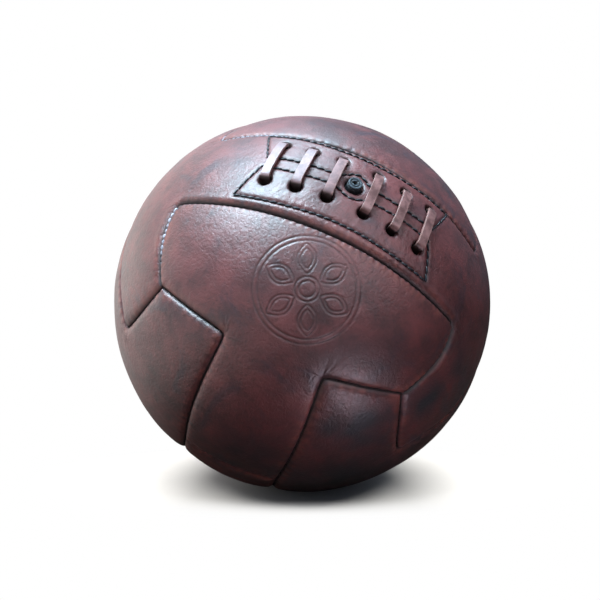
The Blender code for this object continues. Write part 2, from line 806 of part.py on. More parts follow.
# ---- Bladder ------------------------------------------------------------------------------------
def build_bladder():
    """A rubber ball with a dent under the tongue and a neck hole for the valve."""
    axis = unit(on_strip(VALVE_X, VALVE_Y, 1.0))
    along = unit(np.cross([0.0, 1.0, 0.0], axis))
    across = np.cross(axis, along)
    neck = math.degrees((HOUSING_RADIUS + NECK_CLEARANCE) / BLADDER_DENT)
    levels = [(BLADDER_DENT, angles) for angles in [(neck, neck)] + DENTED_RINGS]
    levels += [(BLADDER_OUTER, angles) for angles in ROUND_RINGS]
    points = []

    def add_wall(inward):
        """Adds the points of one face of the rubber; gives its rings and its pole."""
        rings = []
        for radius, (degrees_along, degrees_across) in levels:
            a, b = math.radians(degrees_along), math.radians(degrees_across)
            rings.append(list(range(len(points), len(points) + BLADDER_SEGMENTS)))
            for s in range(BLADDER_SEGMENTS):
                angle = 2 * math.pi * s / BLADDER_SEGMENTS
                polar = a * b / math.hypot(b * math.cos(angle), a * math.sin(angle))
                way = math.cos(angle) * along + math.sin(angle) * across
                direction = math.cos(polar) * axis + math.sin(polar) * way
                points.append(direction * (radius - inward))
        points.append(-axis * (BLADDER_OUTER - inward))
        return rings, len(points) - 1

    outer, outer_pole = add_wall(0.0)
    inner, inner_pole = add_wall(BLADDER_THICKNESS)
    faces = []
    for upper, lower in zip(outer, outer[1:]):
        faces += band(lower, upper)
    for s in range(BLADDER_SEGMENTS):
        faces.append([outer[-1][(s + 1) % BLADDER_SEGMENTS], outer[-1][s], outer_pole])
    for upper, lower in zip(inner, inner[1:]):
        faces += band(upper, lower)
    for s in range(BLADDER_SEGMENTS):
        faces.append([inner[-1][s], inner[-1][(s + 1) % BLADDER_SEGMENTS], inner_pole])
    faces += band(outer[0], inner[0])
    add_object("bladder", points, faces, BLADDER_RUBBER)


# ---- Valve: a housing with a flange inside the bladder, and the plug in its bore ----------------
def add_turned(name, profile, finish, parent, segments=20):
    """A ring-shaped solid turned from a closed profile of (radius, height over the ball)."""
    points, rings = [], []
    for radius, z in profile:
        rings.append(list(range(len(points), len(points) + segments)))
        for s in range(segments):
            angle = 2 * math.pi * s / segments
            points.append((radius * math.cos(angle), radius * math.sin(angle), z))
    faces = []
    for here, after in zip(rings, rings[1:] + rings[:1]):
        faces += band(here, after)
    add_object(name, points, faces, finish, parent=parent)


def build_valve_frame():
    """An empty on the ball's surface at the valve, with its z pointing outwards."""
    frame = add_frame("valve_frame")
    frame.parent = ball_frame
    axis = Vector(on_strip(VALVE_X, VALVE_Y, 1.0))
    rotation = axis.to_track_quat("Z", "Y").to_matrix().to_4x4()
    frame.matrix_local = Matrix.Translation(axis * BALL_RADIUS) @ rotation
    return frame


def build_valve_housing(frame):
    flange_top = BLADDER_DENT - BLADDER_THICKNESS - FLANGE_ROOM - BALL_RADIUS
    profile = [
        (HOUSING_BORE, HOUSING_TOP),
        (HOUSING_RADIUS - HOUSING_CHAMFER, HOUSING_TOP),
        (HOUSING_RADIUS, HOUSING_TOP - HOUSING_CHAMFER),
        (HOUSING_RADIUS, flange_top),
        (FLANGE_RADIUS, flange_top),
        (FLANGE_RADIUS, flange_top - FLANGE_THICKNESS),
        (HOUSING_BORE, flange_top - FLANGE_THICKNESS),
    ]
    add_turned("valve_housing", profile, VALVE_RUBBER, frame)


def build_valve_core(frame):
    """The plug: a head over the housing, a stem in its bore, and a needle hole right through."""
    head_foot = HOUSING_TOP + GAP
    head_top = head_foot + CORE_HEAD_THICKNESS
    stem_foot = head_foot - CORE_STEM_LENGTH
    profile = [
        (NEEDLE_HOLE_RADIUS, head_top - NEEDLE_DIMPLE_DEPTH),
        (NEEDLE_DIMPLE_RADIUS, head_top),
        (CORE_HEAD_RADIUS - CORE_HEAD_CHAMFER, head_top),
        (CORE_HEAD_RADIUS, head_top - CORE_HEAD_CHAMFER),
        (CORE_HEAD_RADIUS, head_foot),
        (CORE_STEM_RADIUS, head_foot),
        (CORE_STEM_RADIUS, stem_foot + CORE_STEM_CHAMFER),
        (CORE_STEM_RADIUS - CORE_STEM_CHAMFER, stem_foot),
        (NEEDLE_HOLE_RADIUS, stem_foot),
    ]
    add_turned("valve_core", profile, CORE_RUBBER, frame)


# ---- Contact flat -------------------------------------------------------------------------------
def add_contact_flat(panel):
    """Fills the resting panel out to the true sphere at its lowest point and cuts it flat."""
    down = np.array(ball_turn.to_3x3().inverted() @ Vector((0, 0, -1)))
    flat = down * (BALL_RADIUS - CONTACT_FLAT_DEPTH)
    pad_start = down * (BALL_RADIUS - PAD_DEPTH)
    floor_end = down * (BALL_RADIUS + FLOOR_REACH)
    pad = add_cutter("contact_pad", *prism(pad_start, flat, CONTACT_FLAT_RADIUS, 24))
    floor = add_cutter("floor_cutter", *prism(flat, floor_end, FLOOR_RADIUS, 12))
    add_boolean(panel, pad, "UNION")
    add_boolean(panel, floor, "DIFFERENCE")


# ---- The ball -----------------------------------------------------------------------------------
panels, linings = build_case()
build_seam_threads()

lace_hole_cutter = build_lace_hole_cutter()
valve_hole_cutter = build_valve_hole_cutter()
laced_sheets = [
    panels["lacing_panel"],
    linings["lacing_panel"],
    build_lip_patch("upper_lip_patch", 1),
    build_lip_patch("lower_lip_patch", -1),
]
for sheet in laced_sheets:
    add_boolean(sheet, lace_hole_cutter, "DIFFERENCE")
    add_boolean(sheet, valve_hole_cutter, "DIFFERENCE")
build_lip_thread("upper_lip_thread", 1)
build_lip_thread("lower_lip_thread", -1)
build_lace()
add_boolean(build_tongue(), valve_hole_cutter, "DIFFERENCE")

build_bladder()
valve_frame = build_valve_frame()
build_valve_housing(valve_frame)
build_valve_core(valve_frame)

add_contact_flat(panels["lower_front_panel"])
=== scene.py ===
"""A laced leather ball: ten T panels and a lacing panel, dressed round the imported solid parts.

Lengths are in millimetres unless a name says otherwise; meshes are written in metres in the row
frame (z up, -y to the front). Directions on the case are worked out in the case's own cube frame,
x along the laced strip, y across it and z out through the valve, and then turned to the row frame.
"""

import math
from itertools import product

import bpy
import numpy as np
from mathutils import Matrix, Vector, kdtree


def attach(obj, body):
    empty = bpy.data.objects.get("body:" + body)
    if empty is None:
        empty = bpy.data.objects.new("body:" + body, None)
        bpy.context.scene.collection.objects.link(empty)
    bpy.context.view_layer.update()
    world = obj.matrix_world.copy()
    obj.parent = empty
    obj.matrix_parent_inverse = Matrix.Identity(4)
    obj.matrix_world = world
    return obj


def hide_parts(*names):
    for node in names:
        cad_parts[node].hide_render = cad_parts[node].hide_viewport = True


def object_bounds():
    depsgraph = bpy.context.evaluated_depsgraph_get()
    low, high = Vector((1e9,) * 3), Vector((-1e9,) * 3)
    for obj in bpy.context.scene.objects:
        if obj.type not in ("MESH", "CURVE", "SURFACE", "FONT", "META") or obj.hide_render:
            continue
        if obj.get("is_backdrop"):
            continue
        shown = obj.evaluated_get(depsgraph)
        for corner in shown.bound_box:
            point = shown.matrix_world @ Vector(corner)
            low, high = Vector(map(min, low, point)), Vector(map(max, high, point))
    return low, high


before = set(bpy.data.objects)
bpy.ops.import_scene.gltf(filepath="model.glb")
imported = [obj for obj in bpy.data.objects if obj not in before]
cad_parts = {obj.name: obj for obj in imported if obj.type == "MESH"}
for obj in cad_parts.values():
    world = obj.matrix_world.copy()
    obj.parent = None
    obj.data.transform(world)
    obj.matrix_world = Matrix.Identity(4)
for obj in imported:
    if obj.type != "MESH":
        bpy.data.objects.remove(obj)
bounds_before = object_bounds()

# ---- Sizes of the case ---------------------------------------------------------------------------
RADIUS = 110.0
LEATHER_INNER = 107.9  # radius of the leather's inner face
FLOOR_Z = -109.9
SIDES = (-1, 1)

# Each cube face has a strip along its middle, with the bars of two T panels across its ends.
# "Along" and "across" are tangents measured from the middle of a face.
FACE_EDGE = math.pi / 4  # angle from a face's middle to its edge
CORNER_OUT = 0.707
ALONG_END, ACROSS_END = 0.672 / CORNER_OUT, 0.220 / CORNER_OUT  # where strip, bar and T meet
ALONG_ANGLE, ACROSS_ANGLE = math.atan(ALONG_END), math.atan(ACROSS_END)
MID_SEAM_SLOPE = 0.2505  # half width of a strip at its middle
STRIP_POWER = (1.2, 1.2, 2.0)  # by face: how late a strip widens
END_BOW = (0.030, 0.000, 0.065)  # by face: how far a bar's end bows outwards
COLUMNS, STEM_COLUMNS = 5, 2  # cells of the solid parts in half a bar, and in half a stem
BEND_RADIUS = 1.6

# Name: (axis of the bar's face, its sign, sign of the stem's face, lattice step, how dark the leather is
# drawn; the two lower panels are drawn darker)
T_PANELS = {
    "front_panel": (2, 1, -1, 0.95, 1.0),
    "top_panel": (2, 1, 1, 1.05, 1.0),
    "left_front_panel": (1, -1, -1, 1.05, 1.0),
    "lower_front_panel": (1, -1, 1, 1.0, 0.92),
    "upper_rear_panel": (1, 1, -1, 1.45, 1.0),
    "right_rear_panel": (1, 1, 1, 1.45, 1.0),
    "left_rear_panel": (0, -1, -1, 1.2, 1.0),
    "lower_right_panel": (0, 1, -1, 1.15, 0.86),
    "rear_panel": (2, -1, 1, 1.45, 1.0),
    "bottom_panel": (2, -1, -1, 1.45, 1.0),
}
LACING = "lacing_panel"
LACING_SEED = len(T_PANELS) + 1

# ---- Sizes of the lacing, its lips and the valve, as x and y over the laced strip ----------------
LACING_CENTRE_X, LACE_PITCH, VALVE_SPREAD, STRANDS = 1.8, 15.5, 1.55, 6
HOLE_ROWS_Y = (-9.5, 15.4)
VALVE_X, VALVE_Y = 2.0, 2.4
LIP_CENTRE = (1.2, 1.5)
LIP_LENGTH, LIP_WIDTH = 52.3, 22.3  # half sizes of the stitched outline
NOTCH_DEPTH, CENTRE_STITCH_Y, VALVE_BULGE, VALVE_LIFT = 7.8, 3.5, 7.8, 0.9
LIP_PITCH = 3.8

# ---- Stamped motif on the front panel: a double ring round a petal rosette -----------------------
MOTIF_AZIMUTH, MOTIF_ELEVATION = 1.2, 9.3
MOTIF_RADIUS = 24.5
MOTIF_RINGS = (MOTIF_RADIUS, MOTIF_RADIUS - 2.3, 5.6, 3.6)
PETAL_START, PETAL_END, PETAL_HALF_WIDTH = 6.6, 21.0, 4.3
STAMP_LINE, STAMP_DEPTH = 0.43, 0.36

# Blue-black stains of the old leather: row direction, radius, strength
BLOTS = [
    ((0.26, -0.86, -0.46), 15.0, 1.05),
    ((0.13, -0.89, -0.43), 8.0, 0.80),
    ((0.56, -0.75, -0.36), 11.0, 1.05),
    ((0.71, -0.68, -0.20), 10.0, 0.70),
    ((0.32, -0.93, -0.16), 11.0, 0.40),
    ((0.20, -0.58, -0.79), 38.0, 0.85),
    ((-0.22, -0.78, -0.58), 24.0, 0.60),
    ((0.78, -0.42, -0.46), 22.0, 0.70),
    ((-0.76, -0.65, -0.04), 9.0, 0.35),
    ((-0.52, -0.85, 0.05), 7.0, 0.50),
    ((0.55, 0.60, 0.58), 16.0, 0.60),
    ((-0.30, 0.92, -0.25), 18.0, 0.60),
]


# ---- Small helpers -------------------------------------------------------------------------------
def unit(vectors):
    vectors = np.asarray(vectors, float)
    return vectors / np.linalg.norm(vectors, axis=-1, keepdims=True)


def smooth(share):
    share = np.clip(share, 0, 1)
    return share * share * (3 - 2 * share)


def bell(x, width, centre=0.0):
    return np.exp(-(((x - centre) / width) ** 2))


def coords(*parts):
    """Arrays or numbers broadcast together as the last axis of one array."""
    return np.stack(np.broadcast_arrays(*parts), -1)


def run_along(line):
    """Length run from a line's start to each of its points."""
    return np.concatenate([[0], np.cumsum(np.linalg.norm(np.diff(line, axis=0), axis=1))])


def kd_tree(points):
    tree = kdtree.KDTree(len(points))
    for k, point in enumerate(points):
        tree.insert(point, k)
    tree.balance()
    return tree


def spin(degrees, axis):
    return Matrix.Rotation(math.radians(degrees), 4, axis)


# The valve's azimuth and elevation, then the roll of the lacing about the valve
TURN = spin(14.02, "Z") @ spin(-35.21, "X") @ spin(90, "X") @ spin(-29.4, "Z")
TURN = np.array(TURN.to_3x3())


def to_row(points):
    return points @ TURN.T


class Noise:
    """Gradient noise at points (n, 3), about -1 to 1."""

    def __init__(self, seed):
        rng = np.random.default_rng(seed)
        self.table = rng.permutation(512).astype(np.int64)
        self.slopes = unit(rng.normal(size=(512, 3)))

    def __call__(self, points):
        cell = np.floor(points).astype(np.int64)
        offset = points - cell
        weight = offset**3 * (offset * (offset * 6 - 15) + 10)
        total = np.zeros(len(points))
        for step in product((0, 1), repeat=3):
            hashed = 0
            for axis in range(3):
                hashed = self.table[(hashed + cell[:, axis] + step[axis]) & 511]
            share = np.where(step, weight, 1 - weight).prod(-1)
            total += share * (self.slopes[hashed] * (offset - step)).sum(-1)
        return total * 1.6

    def line(self, places, row):
        return self(coords(places, row, 0.37))

    def at(self, place, row):
        return self.line(np.array([place]), row)[0]


noise_a, noise_b, noise_c = Noise(11), Noise(23), Noise(37)


# ---- Seam curves of one face ---------------------------------------------------------------------
def strip_slope(face, angle):
    """Half width of a strip, at an angle along it."""
    share = np.abs(angle) / ALONG_ANGLE
    return MID_SEAM_SLOPE + (ACROSS_END - MID_SEAM_SLOPE) * share ** STRIP_POWER[face]


def bar_end(face, angle):
    """Place along a face of a bar's end seam, at an angle across the face."""
    share = (np.abs(angle) - ACROSS_ANGLE) / (FACE_EDGE - ACROSS_ANGLE)
    return ALONG_END + (1 - ALONG_END) * share + END_BOW[face] * 4 * share * (1 - share)


def on_face(face, side, along, across):
    """Unit directions on the face that lies on one side of an axis."""
    along, across = np.broadcast_arrays(along, across)
    points = np.zeros(along.shape + (3,))
    points[..., (face + 1) % 3] = along
    points[..., (face + 2) % 3] = across
    points[..., face] = side
    return unit(points)


# ---- Rounding of the bends where a bar's corner meets the inner corner of a T --------------------
bends = []  # corner, way into the bend, way across it, cosine between its two seams
for face, side, end, edge in product(range(3), SIDES, SIDES, SIDES):
    corner = on_face(face, side, end * ALONG_END, edge * ACROSS_END)
    strip_angle, bar_angle = ALONG_ANGLE - 0.06, ACROSS_ANGLE + 0.06
    strip_point = on_face(face, side, end * math.tan(strip_angle), edge * strip_slope(face, strip_angle))
    bar_point = on_face(face, side, end * bar_end(face, bar_angle), edge * math.tan(bar_angle))
    one, two = unit(strip_point - corner), unit(bar_point - corner)
    bends.append((corner, unit(one + two), unit(two - one), float(one @ two)))


def rounded(points):
    """Unit directions with the sharp bends of the seams drawn round."""
    points = points.copy()
    for corner, middle, across, cosine in bends:
        away = (points - corner) * RADIUS
        near = np.nonzero((away**2).sum(-1) < 24.0**2)[0]
        if not len(near):
            continue
        away = away[near]
        aside = np.abs(away @ across)
        reach = np.exp(-((np.linalg.norm(away, axis=-1) / 8.0) ** 2))
        shift = (np.sqrt(aside**2 + BEND_RADIUS**2) - aside) / math.tan(math.acos(cosine) / 2) * reach
        points[near] = unit(points[near] + middle * (shift / RADIUS)[:, None])
    return points


# ---- Seams as lines ------------------------------------------------------------------------------
BAR_STEPS, STRIP_STEPS, CROSS_POINTS = 170, 260, 181  # of the dense lines
bar_columns = COLUMNS - STEM_COLUMNS
cells = np.arange(COLUMNS, -1, -1)
coarse_angles = np.where(
    cells <= STEM_COLUMNS,
    ACROSS_ANGLE * cells / STEM_COLUMNS,
    ACROSS_ANGLE + (FACE_EDGE - ACROSS_ANGLE) * (cells - STEM_COLUMNS) / bar_columns,
)


def quarter_line(face, side, end, edge, dense):
    """From the cube's corner along a bar's end, then along the strip to its middle."""
    if dense:
        bars = np.linspace(FACE_EDGE, ACROSS_ANGLE, BAR_STEPS + 1)[:-1]
        strips = np.linspace(ALONG_ANGLE, 0, STRIP_STEPS + 1)
    else:
        bars = coarse_angles[:bar_columns]
        strips = coarse_angles * ALONG_ANGLE / FACE_EDGE
    return np.concatenate(
        [
            on_face(face, side, end * bar_end(face, bars), edge * np.tan(bars)),
            on_face(face, side, end * np.tan(strips), edge * strip_slope(face, strips)),
        ]
    )


def seam_lines(dense):
    """All seams; the lower and then the upper seam of the laced strip come last."""
    lines = []
    for face, side in product(range(3), SIDES):
        quarter = {
            (end, edge): quarter_line(face, side, end, edge, dense)
            for end, edge in product(SIDES, SIDES)
        }
        if face == 2 and side == 1:
            for edge in SIDES:
                lines.append(np.concatenate([quarter[-1, edge], quarter[1, edge][::-1][1:]]))
        else:
            lines += list(quarter.values())
            across = np.linspace(-1, 1, CROSS_POINTS if dense else 2 * STEM_COLUMNS + 1)
            lines.append(on_face(face, side, 0, MID_SEAM_SLOPE * across))
    return lines


coarse_lines = seam_lines(False)
dense_lines = [rounded(line) for line in seam_lines(True)]
LACED_LOWER, LACED_UPPER = len(dense_lines) - 2, len(dense_lines) - 1

seam_runs = [run_along(line * RADIUS) for line in dense_lines]
seam_points = np.concatenate([line * RADIUS for line in dense_lines])
seam_at = np.concatenate(seam_runs)
seam_number = np.repeat(np.arange(len(dense_lines)), [len(line) for line in dense_lines])
seam_tree = kd_tree(seam_points)


def nearest_seam(points):
    """For unit directions: distance to the nearest seam, place along it, and its number."""
    where = points * RADIUS
    index = np.array([seam_tree.find(point)[1] for point in where])
    best, along = np.full(len(where), 1e9), np.zeros(len(where))
    for shift in (-1, 0):
        i = index + shift
        valid = (i >= 0) & (i + 1 < len(seam_points))
        i = np.clip(i, 0, len(seam_points) - 2)
        valid &= seam_number[i] == seam_number[i + 1]
        valid &= seam_number[i] == seam_number[index]
        start = seam_points[i]
        step = seam_points[i + 1] - start
        share = ((where - start) * step).sum(-1) / np.maximum((step**2).sum(-1), 1e-12)
        share = np.clip(share, 0, 1)
        gap = np.linalg.norm(where - start - step * share[:, None], axis=-1)
        take = valid & (gap < best)
        best[take] = gap[take]
        along[take] = (seam_at[i] + (seam_at[i + 1] - seam_at[i]) * share)[take]
    return best, along, seam_number[index]


# Character of each seam: stitch pitch and how hard it's drawn in
rng = np.random.default_rng(5)
pitch = rng.uniform(4.4, 5.6, len(dense_lines))
draw = rng.uniform(0.7, 1.15, len(dense_lines))
pitch[LACED_LOWER], draw[LACED_LOWER] = 3.6, 1.3
pitch[LACED_UPPER], draw[LACED_UPPER] = 4.6, 1.2


def stitch_phase(along, number):
    """Place along a seam in stitches, with hand-sewn unevenness."""
    wander = noise_a.line(along / 13.0, 3.1) * 0.9 + noise_a.line(along / 5.0, 7.7) * 0.25
    return (along + wander) / pitch[number]


# ---- Places on the laced strip -------------------------------------------------------------------
def on_strip(x, y):
    around, aside = np.asarray(x, float) / RADIUS, np.asarray(y, float) / RADIUS
    return coords(np.sin(around) * np.cos(aside), np.sin(aside), np.cos(around) * np.cos(aside))


def strip_place(points):
    x = RADIUS * np.arctan2(points[:, 0], points[:, 2])
    return x, RADIUS * np.arcsin(np.clip(points[:, 1], -1, 1))


def strand_x(k):
    place = k - (STRANDS - 1) / 2
    return LACING_CENTRE_X + place * LACE_PITCH + math.copysign(VALVE_SPREAD, place)


# Holes as (x, y, radius), the valve's last
STRIP_HOLES = [
    (strand_x(k), y, 2.85 + 0.12 * math.sin(5.1 * k + y))
    for k in range(STRANDS)
    for y in (HOLE_ROWS_Y[0] - 0.35, HOLE_ROWS_Y[1] + 0.35)
] + [(VALVE_X, VALVE_Y, 4.55)]


def lip_edge(x, side):
    """Distance of a lip's centre edge from the middle of the outline; it bulges by the valve."""
    near = np.minimum(np.abs(np.asarray(x, float) + LIP_CENTRE[0] - VALVE_X) / 10.5, 1.0)
    near = (np.cos(near * math.pi) + 1) / 2
    return CENTRE_STITCH_Y + (VALVE_BULGE - CENTRE_STITCH_Y) * near + side * VALVE_LIFT * near


def lip_outline(side):
    """The closed line of stitches round one lip, as dense (x, y)."""
    inner_x = LIP_LENGTH - NOTCH_DEPTH
    share = np.linspace(0, 1, 200)

    def slant(start, end):
        start, end = np.array(start), np.array(end)
        return start + np.linspace(0, 1, 80)[:, None] * (end - start)

    top = coords(-LIP_LENGTH + 2 * LIP_LENGTH * share, LIP_WIDTH + 0.35 * np.sin(share * 9))
    right = slant((LIP_LENGTH, LIP_WIDTH), (inner_x, CENTRE_STITCH_Y))
    x = inner_x - 2 * inner_x * share
    centre = coords(x, lip_edge(x, side) + 0.2 * np.sin(x / 6.0))
    left = slant((-inner_x, CENTRE_STITCH_Y), (-LIP_LENGTH, LIP_WIDTH))
    return np.concatenate([top[:-1], right[:-1], centre[:-1], left]) * [1, side] + LIP_CENTRE


LIPS = {side: lip_outline(side) for side in (1, -1)}
lip_tree = kd_tree([(x, y, 0) for line in LIPS.values() for x, y in line])
lip_at = np.concatenate([run_along(line) for line in LIPS.values()])


# ---- The stamp -----------------------------------------------------------------------------------
def motif_axes():
    """Out, right and up at the motif's middle, in the case frame."""
    azimuth, elevation = math.radians(MOTIF_AZIMUTH), math.radians(MOTIF_ELEVATION)
    level = math.cos(elevation)
    out = np.array([math.sin(azimuth) * level, -math.cos(azimuth) * level, math.sin(elevation)])
    right = unit(np.cross([0, 0, 1.0], out))
    return [axis @ TURN for axis in (out, right, np.cross(out, right))]


motif_out, motif_right, motif_up = motif_axes()


def motif(points):
    """How deep the stamp goes at unit directions: 0 to 1."""
    close = np.nonzero(points @ motif_out > math.cos((MOTIF_RADIUS + 4) / RADIUS))[0]
    cut = np.zeros(len(points))
    if not len(close):
        return cut
    stamped = points[close]
    polar = np.arccos(np.clip(stamped @ motif_out, -1, 1)) * RADIUS
    around = np.arctan2(stamped @ motif_up, stamped @ motif_right)
    lines = [bell(polar, STAMP_LINE, centre=ring) for ring in MOTIF_RINGS]
    sixth = math.pi / 3
    local = (around - math.pi / 2 + sixth / 2) % sixth - sixth / 2
    along, across = polar * np.cos(local), np.abs(polar * np.sin(local))
    for inset in (0.0, 1.5):  # each petal is outlined twice
        start, end = PETAL_START + inset * 1.6, PETAL_END - inset * 1.6
        share = np.clip((along - start) / (end - start), 0, 1)
        edge = (PETAL_HALF_WIDTH - inset) * np.sin(math.pi * share) ** 0.85
        inside = smooth((along - start + 0.3) / 0.6) * smooth((end - along + 0.3) / 0.6)
        lines.append(bell((across - edge) * 0.86, STAMP_LINE) * inside)
    worn = 0.62 + 0.38 * smooth(0.5 + 1.6 * noise_b(stamped * RADIUS / 9.0))
    cut[close] = np.max(lines, axis=0) * worn
    return cut


# ---- Height of the leather over the ball's radius ------------------------------------------------
junctions = [bend[0] for bend in bends]
for line in coarse_lines:
    for end in (line[0], line[-1]):
        if all(np.linalg.norm(end - junction) > 0.02 for junction in junctions):
            junctions.append(end)

# Rolled edges: width, depth, how far the width beats with the stitches, height of the puckers
EDGE_SHAPE = (5.3, 2.25, 0.10, 0.050)
LACED_EDGE_SHAPES = {
    (LACING, LACED_LOWER): (4.6, 2.30, 0.05, 0.010),
    ("front_panel", LACED_LOWER): (2.1, 1.45, 0.42, 0.022),
    (LACING, LACED_UPPER): (3.8, 1.6, 0.10, 0.025),
    ("top_panel", LACED_UPPER): (3.2, 1.7, 0.26, 0.050),
}
LUMPS = (  # soft lumps and dents: noise, size, height
    (noise_a, 30.0, 0.30),
    (noise_b, 12.0, 0.11),
    (noise_c, 5.2, 0.030),
    (noise_a, 1.9, 0.020),
)


def roll(distance, width, depth):
    """A rounded edge: nothing beyond width, falling to depth at the edge."""
    share = 1 - np.clip(distance / width, 0, 1)
    return -depth * (1 - np.sqrt(np.maximum(1 - share * share, 0)))


def seam_relief(points, seed, name):
    """Height of the rolled edges and puckers, the stitches' beat, and the marks of the seams."""
    distance, along, number = nearest_seam(points)
    phase = stitch_phase(along, number)
    beat = np.cos(2 * math.pi * phase)
    uneven = 0.65 + 0.7 * noise_a.line(along / 17.0 + seed * 3.3, 1.5 + seed)
    pull = draw[number] * np.clip(uneven, 0.25, 1.5)
    shapes = [LACED_EDGE_SHAPES.get((name, k), EDGE_SHAPE) for k in range(len(dense_lines))]
    wide, deep, beats, high = np.array(shapes)[number].T
    width = wide * (1 + 0.14 * noise_b.line(along / 21.0, seed + 0.2))
    width = width * (1 - beats * beat * np.clip(pull, 0, 1.2))
    # a tight roll within a wide one, and a slow swell towards the panel's middle
    height = roll(distance, width * 1.12, deep * 0.56) + roll(distance, width * 0.56, deep * 0.62)
    height += 1.05 * (1 - np.exp(-distance / 13.0)) - 0.24
    # a full, round welt between the lower lip's stitches and the lower seam
    by_welt = (name == LACING) & (number == LACED_LOWER)
    height += 0.42 * (by_welt & (points[:, 2] > 0.6)) * bell(distance, 2.0, centre=3.3)
    puckers = bell(distance, 1.4, centre=1.3) + 0.40 * bell(distance, 2.6, centre=4.0)
    height += high * pull * beat * puckers
    # creases that run in from the stitches
    fold = noise_c(coords(phase * 1.7, distance / 7.0 + seed, seed * 0.7))
    fold += 0.5 * noise_c(coords(phase * 3.6, distance / 4.0 + seed, seed * 1.9))
    height += 0.080 * pull * fold * bell(distance, 7.0) * smooth(distance / 0.8)
    # painted shade, with dirt, down each seam: its width beats with the stitches to paint the scallops
    # light and dark
    swing = np.where(by_welt, 0.0, np.where(wide > 4.5, 0.25, 0.55))
    groove_dirt_shade_width = np.where(wide < 3.4, 0.62, np.where(by_welt, 1.6, 0.58))
    marks = {
        "seam_distance": distance,
        "pucker": beat * pull,
        "dirt_and_shade_width": groove_dirt_shade_width * (1 - swing * beat * np.clip(pull, 0.3, 1.2)),
    }
    return height, beat, marks


def cracks(where, offset):
    """Wandering surface cracks, 0 to 1, in patches."""
    bend = (noise_b(where / 8.0 + offset), noise_c(where / 8.0 - offset), noise_a(where / 8.0))
    bent = where + 2.4 * coords(*bend)
    ridge = 1 - np.abs(noise_c(bent / 3.1 + offset)) * 2.2
    return np.clip(ridge, 0, 1) ** 6 * smooth(0.5 + 2.2 * noise_a(where / 19.0 - offset))


def add_junction_creases(height, where):
    """Creases fanned round every seam junction."""
    for k, centre in enumerate(junctions):
        away = where - centre * RADIUS
        near = np.nonzero((away**2).sum(-1) < 17.0**2)[0]
        if not len(near):
            continue
        away = away[near]
        far = np.linalg.norm(away, axis=-1)
        clear = np.maximum(far, 1e-6)
        side = unit(np.cross(centre, [0.3, 0.5, 0.8]))
        x, y = away @ side / clear, away @ np.cross(centre, side) / clear
        ray = noise_b(coords(x * 2.6, y * 2.6, k * 3.3))
        ray += 0.6 * noise_c(coords(x * 5.2, y * 5.2, far / 9.0 + k))
        height[near] += 0.15 * ray * bell(far, 8.5) * smooth(far / 2.4)
        if k < len(bends):  # fine creases drawn into the inner corner of a T
            inwards = smooth(-(away @ bends[k][1]) / clear * 1.6 + 0.3)
            fine_ray = noise_a(coords(x * 11.0, y * 11.0, k * 1.7))
            height[near] += 0.26 * fine_ray * (0.3 + 0.7 * inwards) * bell(far, 4.2, centre=5.0)


def add_lip_relief(height, x, y):
    """The raised lips, their stitch furrows and the gathers; returns the painted shade along the
    furrows.
    """
    found = [lip_tree.find((a, b, 0)) for a, b in zip(x, y)]
    gap = np.array([hit[2] for hit in found])
    run = lip_at[np.array([hit[1] for hit in found])]
    lip_x, lip_y = x - LIP_CENTRE[0], y - LIP_CENTRE[1]
    side_y = np.abs(lip_y)
    share = (side_y - CENTRE_STITCH_Y) / (LIP_WIDTH - CENTRE_STITCH_Y)
    half = LIP_LENGTH - NOTCH_DEPTH * (1 - share)
    inner = lip_edge(lip_x, np.sign(lip_y))
    inside = (side_y > inner) & (side_y < LIP_WIDTH) & (np.abs(lip_x) < half)
    signed = np.where(inside, gap, -gap)
    tick = np.cos(2 * math.pi * run / LIP_PITCH)
    height += 0.34 * smooth((signed + 0.6) / 3.4)
    height -= (0.30 + 0.10 * tick) * bell(gap, 0.85)
    height += 0.10 * bell(gap, 1.1, centre=2.0) * (1 + 0.5 * tick)
    # cloth-like gathers below the lower holes and above the upper ones
    gather = noise_c(coords(x / 2.3, y / 9.0, 4.4))
    below = bell(y, 4.2, centre=HOLE_ROWS_Y[0] - 2.5) * (0.45 + 0.9 * smooth((x - 8) / 14))
    above = 0.5 * bell(y, 3.4, centre=HOLE_ROWS_Y[1] + 1.5)
    height += 0.11 * gather * (below + above) * smooth((50 - np.abs(lip_x)) / 4)
    return 0.62 * bell(gap, 0.8)


def add_hole_relief(height, rim, x, y):
    """Rolled, sunken and creased edges round the holes of the laced strip, with painted shade round
    their rims.
    """
    for k, (hole_x, hole_y, radius) in enumerate(STRIP_HOLES):
        far = np.hypot(x - hole_x, y - hole_y)
        near = far < radius + 14
        edge = np.maximum(far[near] - radius, 0)
        angle = np.arctan2(y[near] - hole_y, x[near] - hole_x)
        is_valve = k == len(STRIP_HOLES) - 1
        height[near] += roll(edge, 1.5, 0.70 if is_valve else 1.25)
        height[near] -= 0.42 * np.exp(-edge / 2.6)
        ray = noise_a(coords(np.cos(angle) * 2.4, np.sin(angle) * 2.4, k * 2.7))
        height[near] += 0.16 * ray * bell(edge, 5.5) * smooth(edge / 1.0)
        # painted shade round the hole's rim
        rim[near] = np.maximum(rim[near], bell(edge, 1.1))


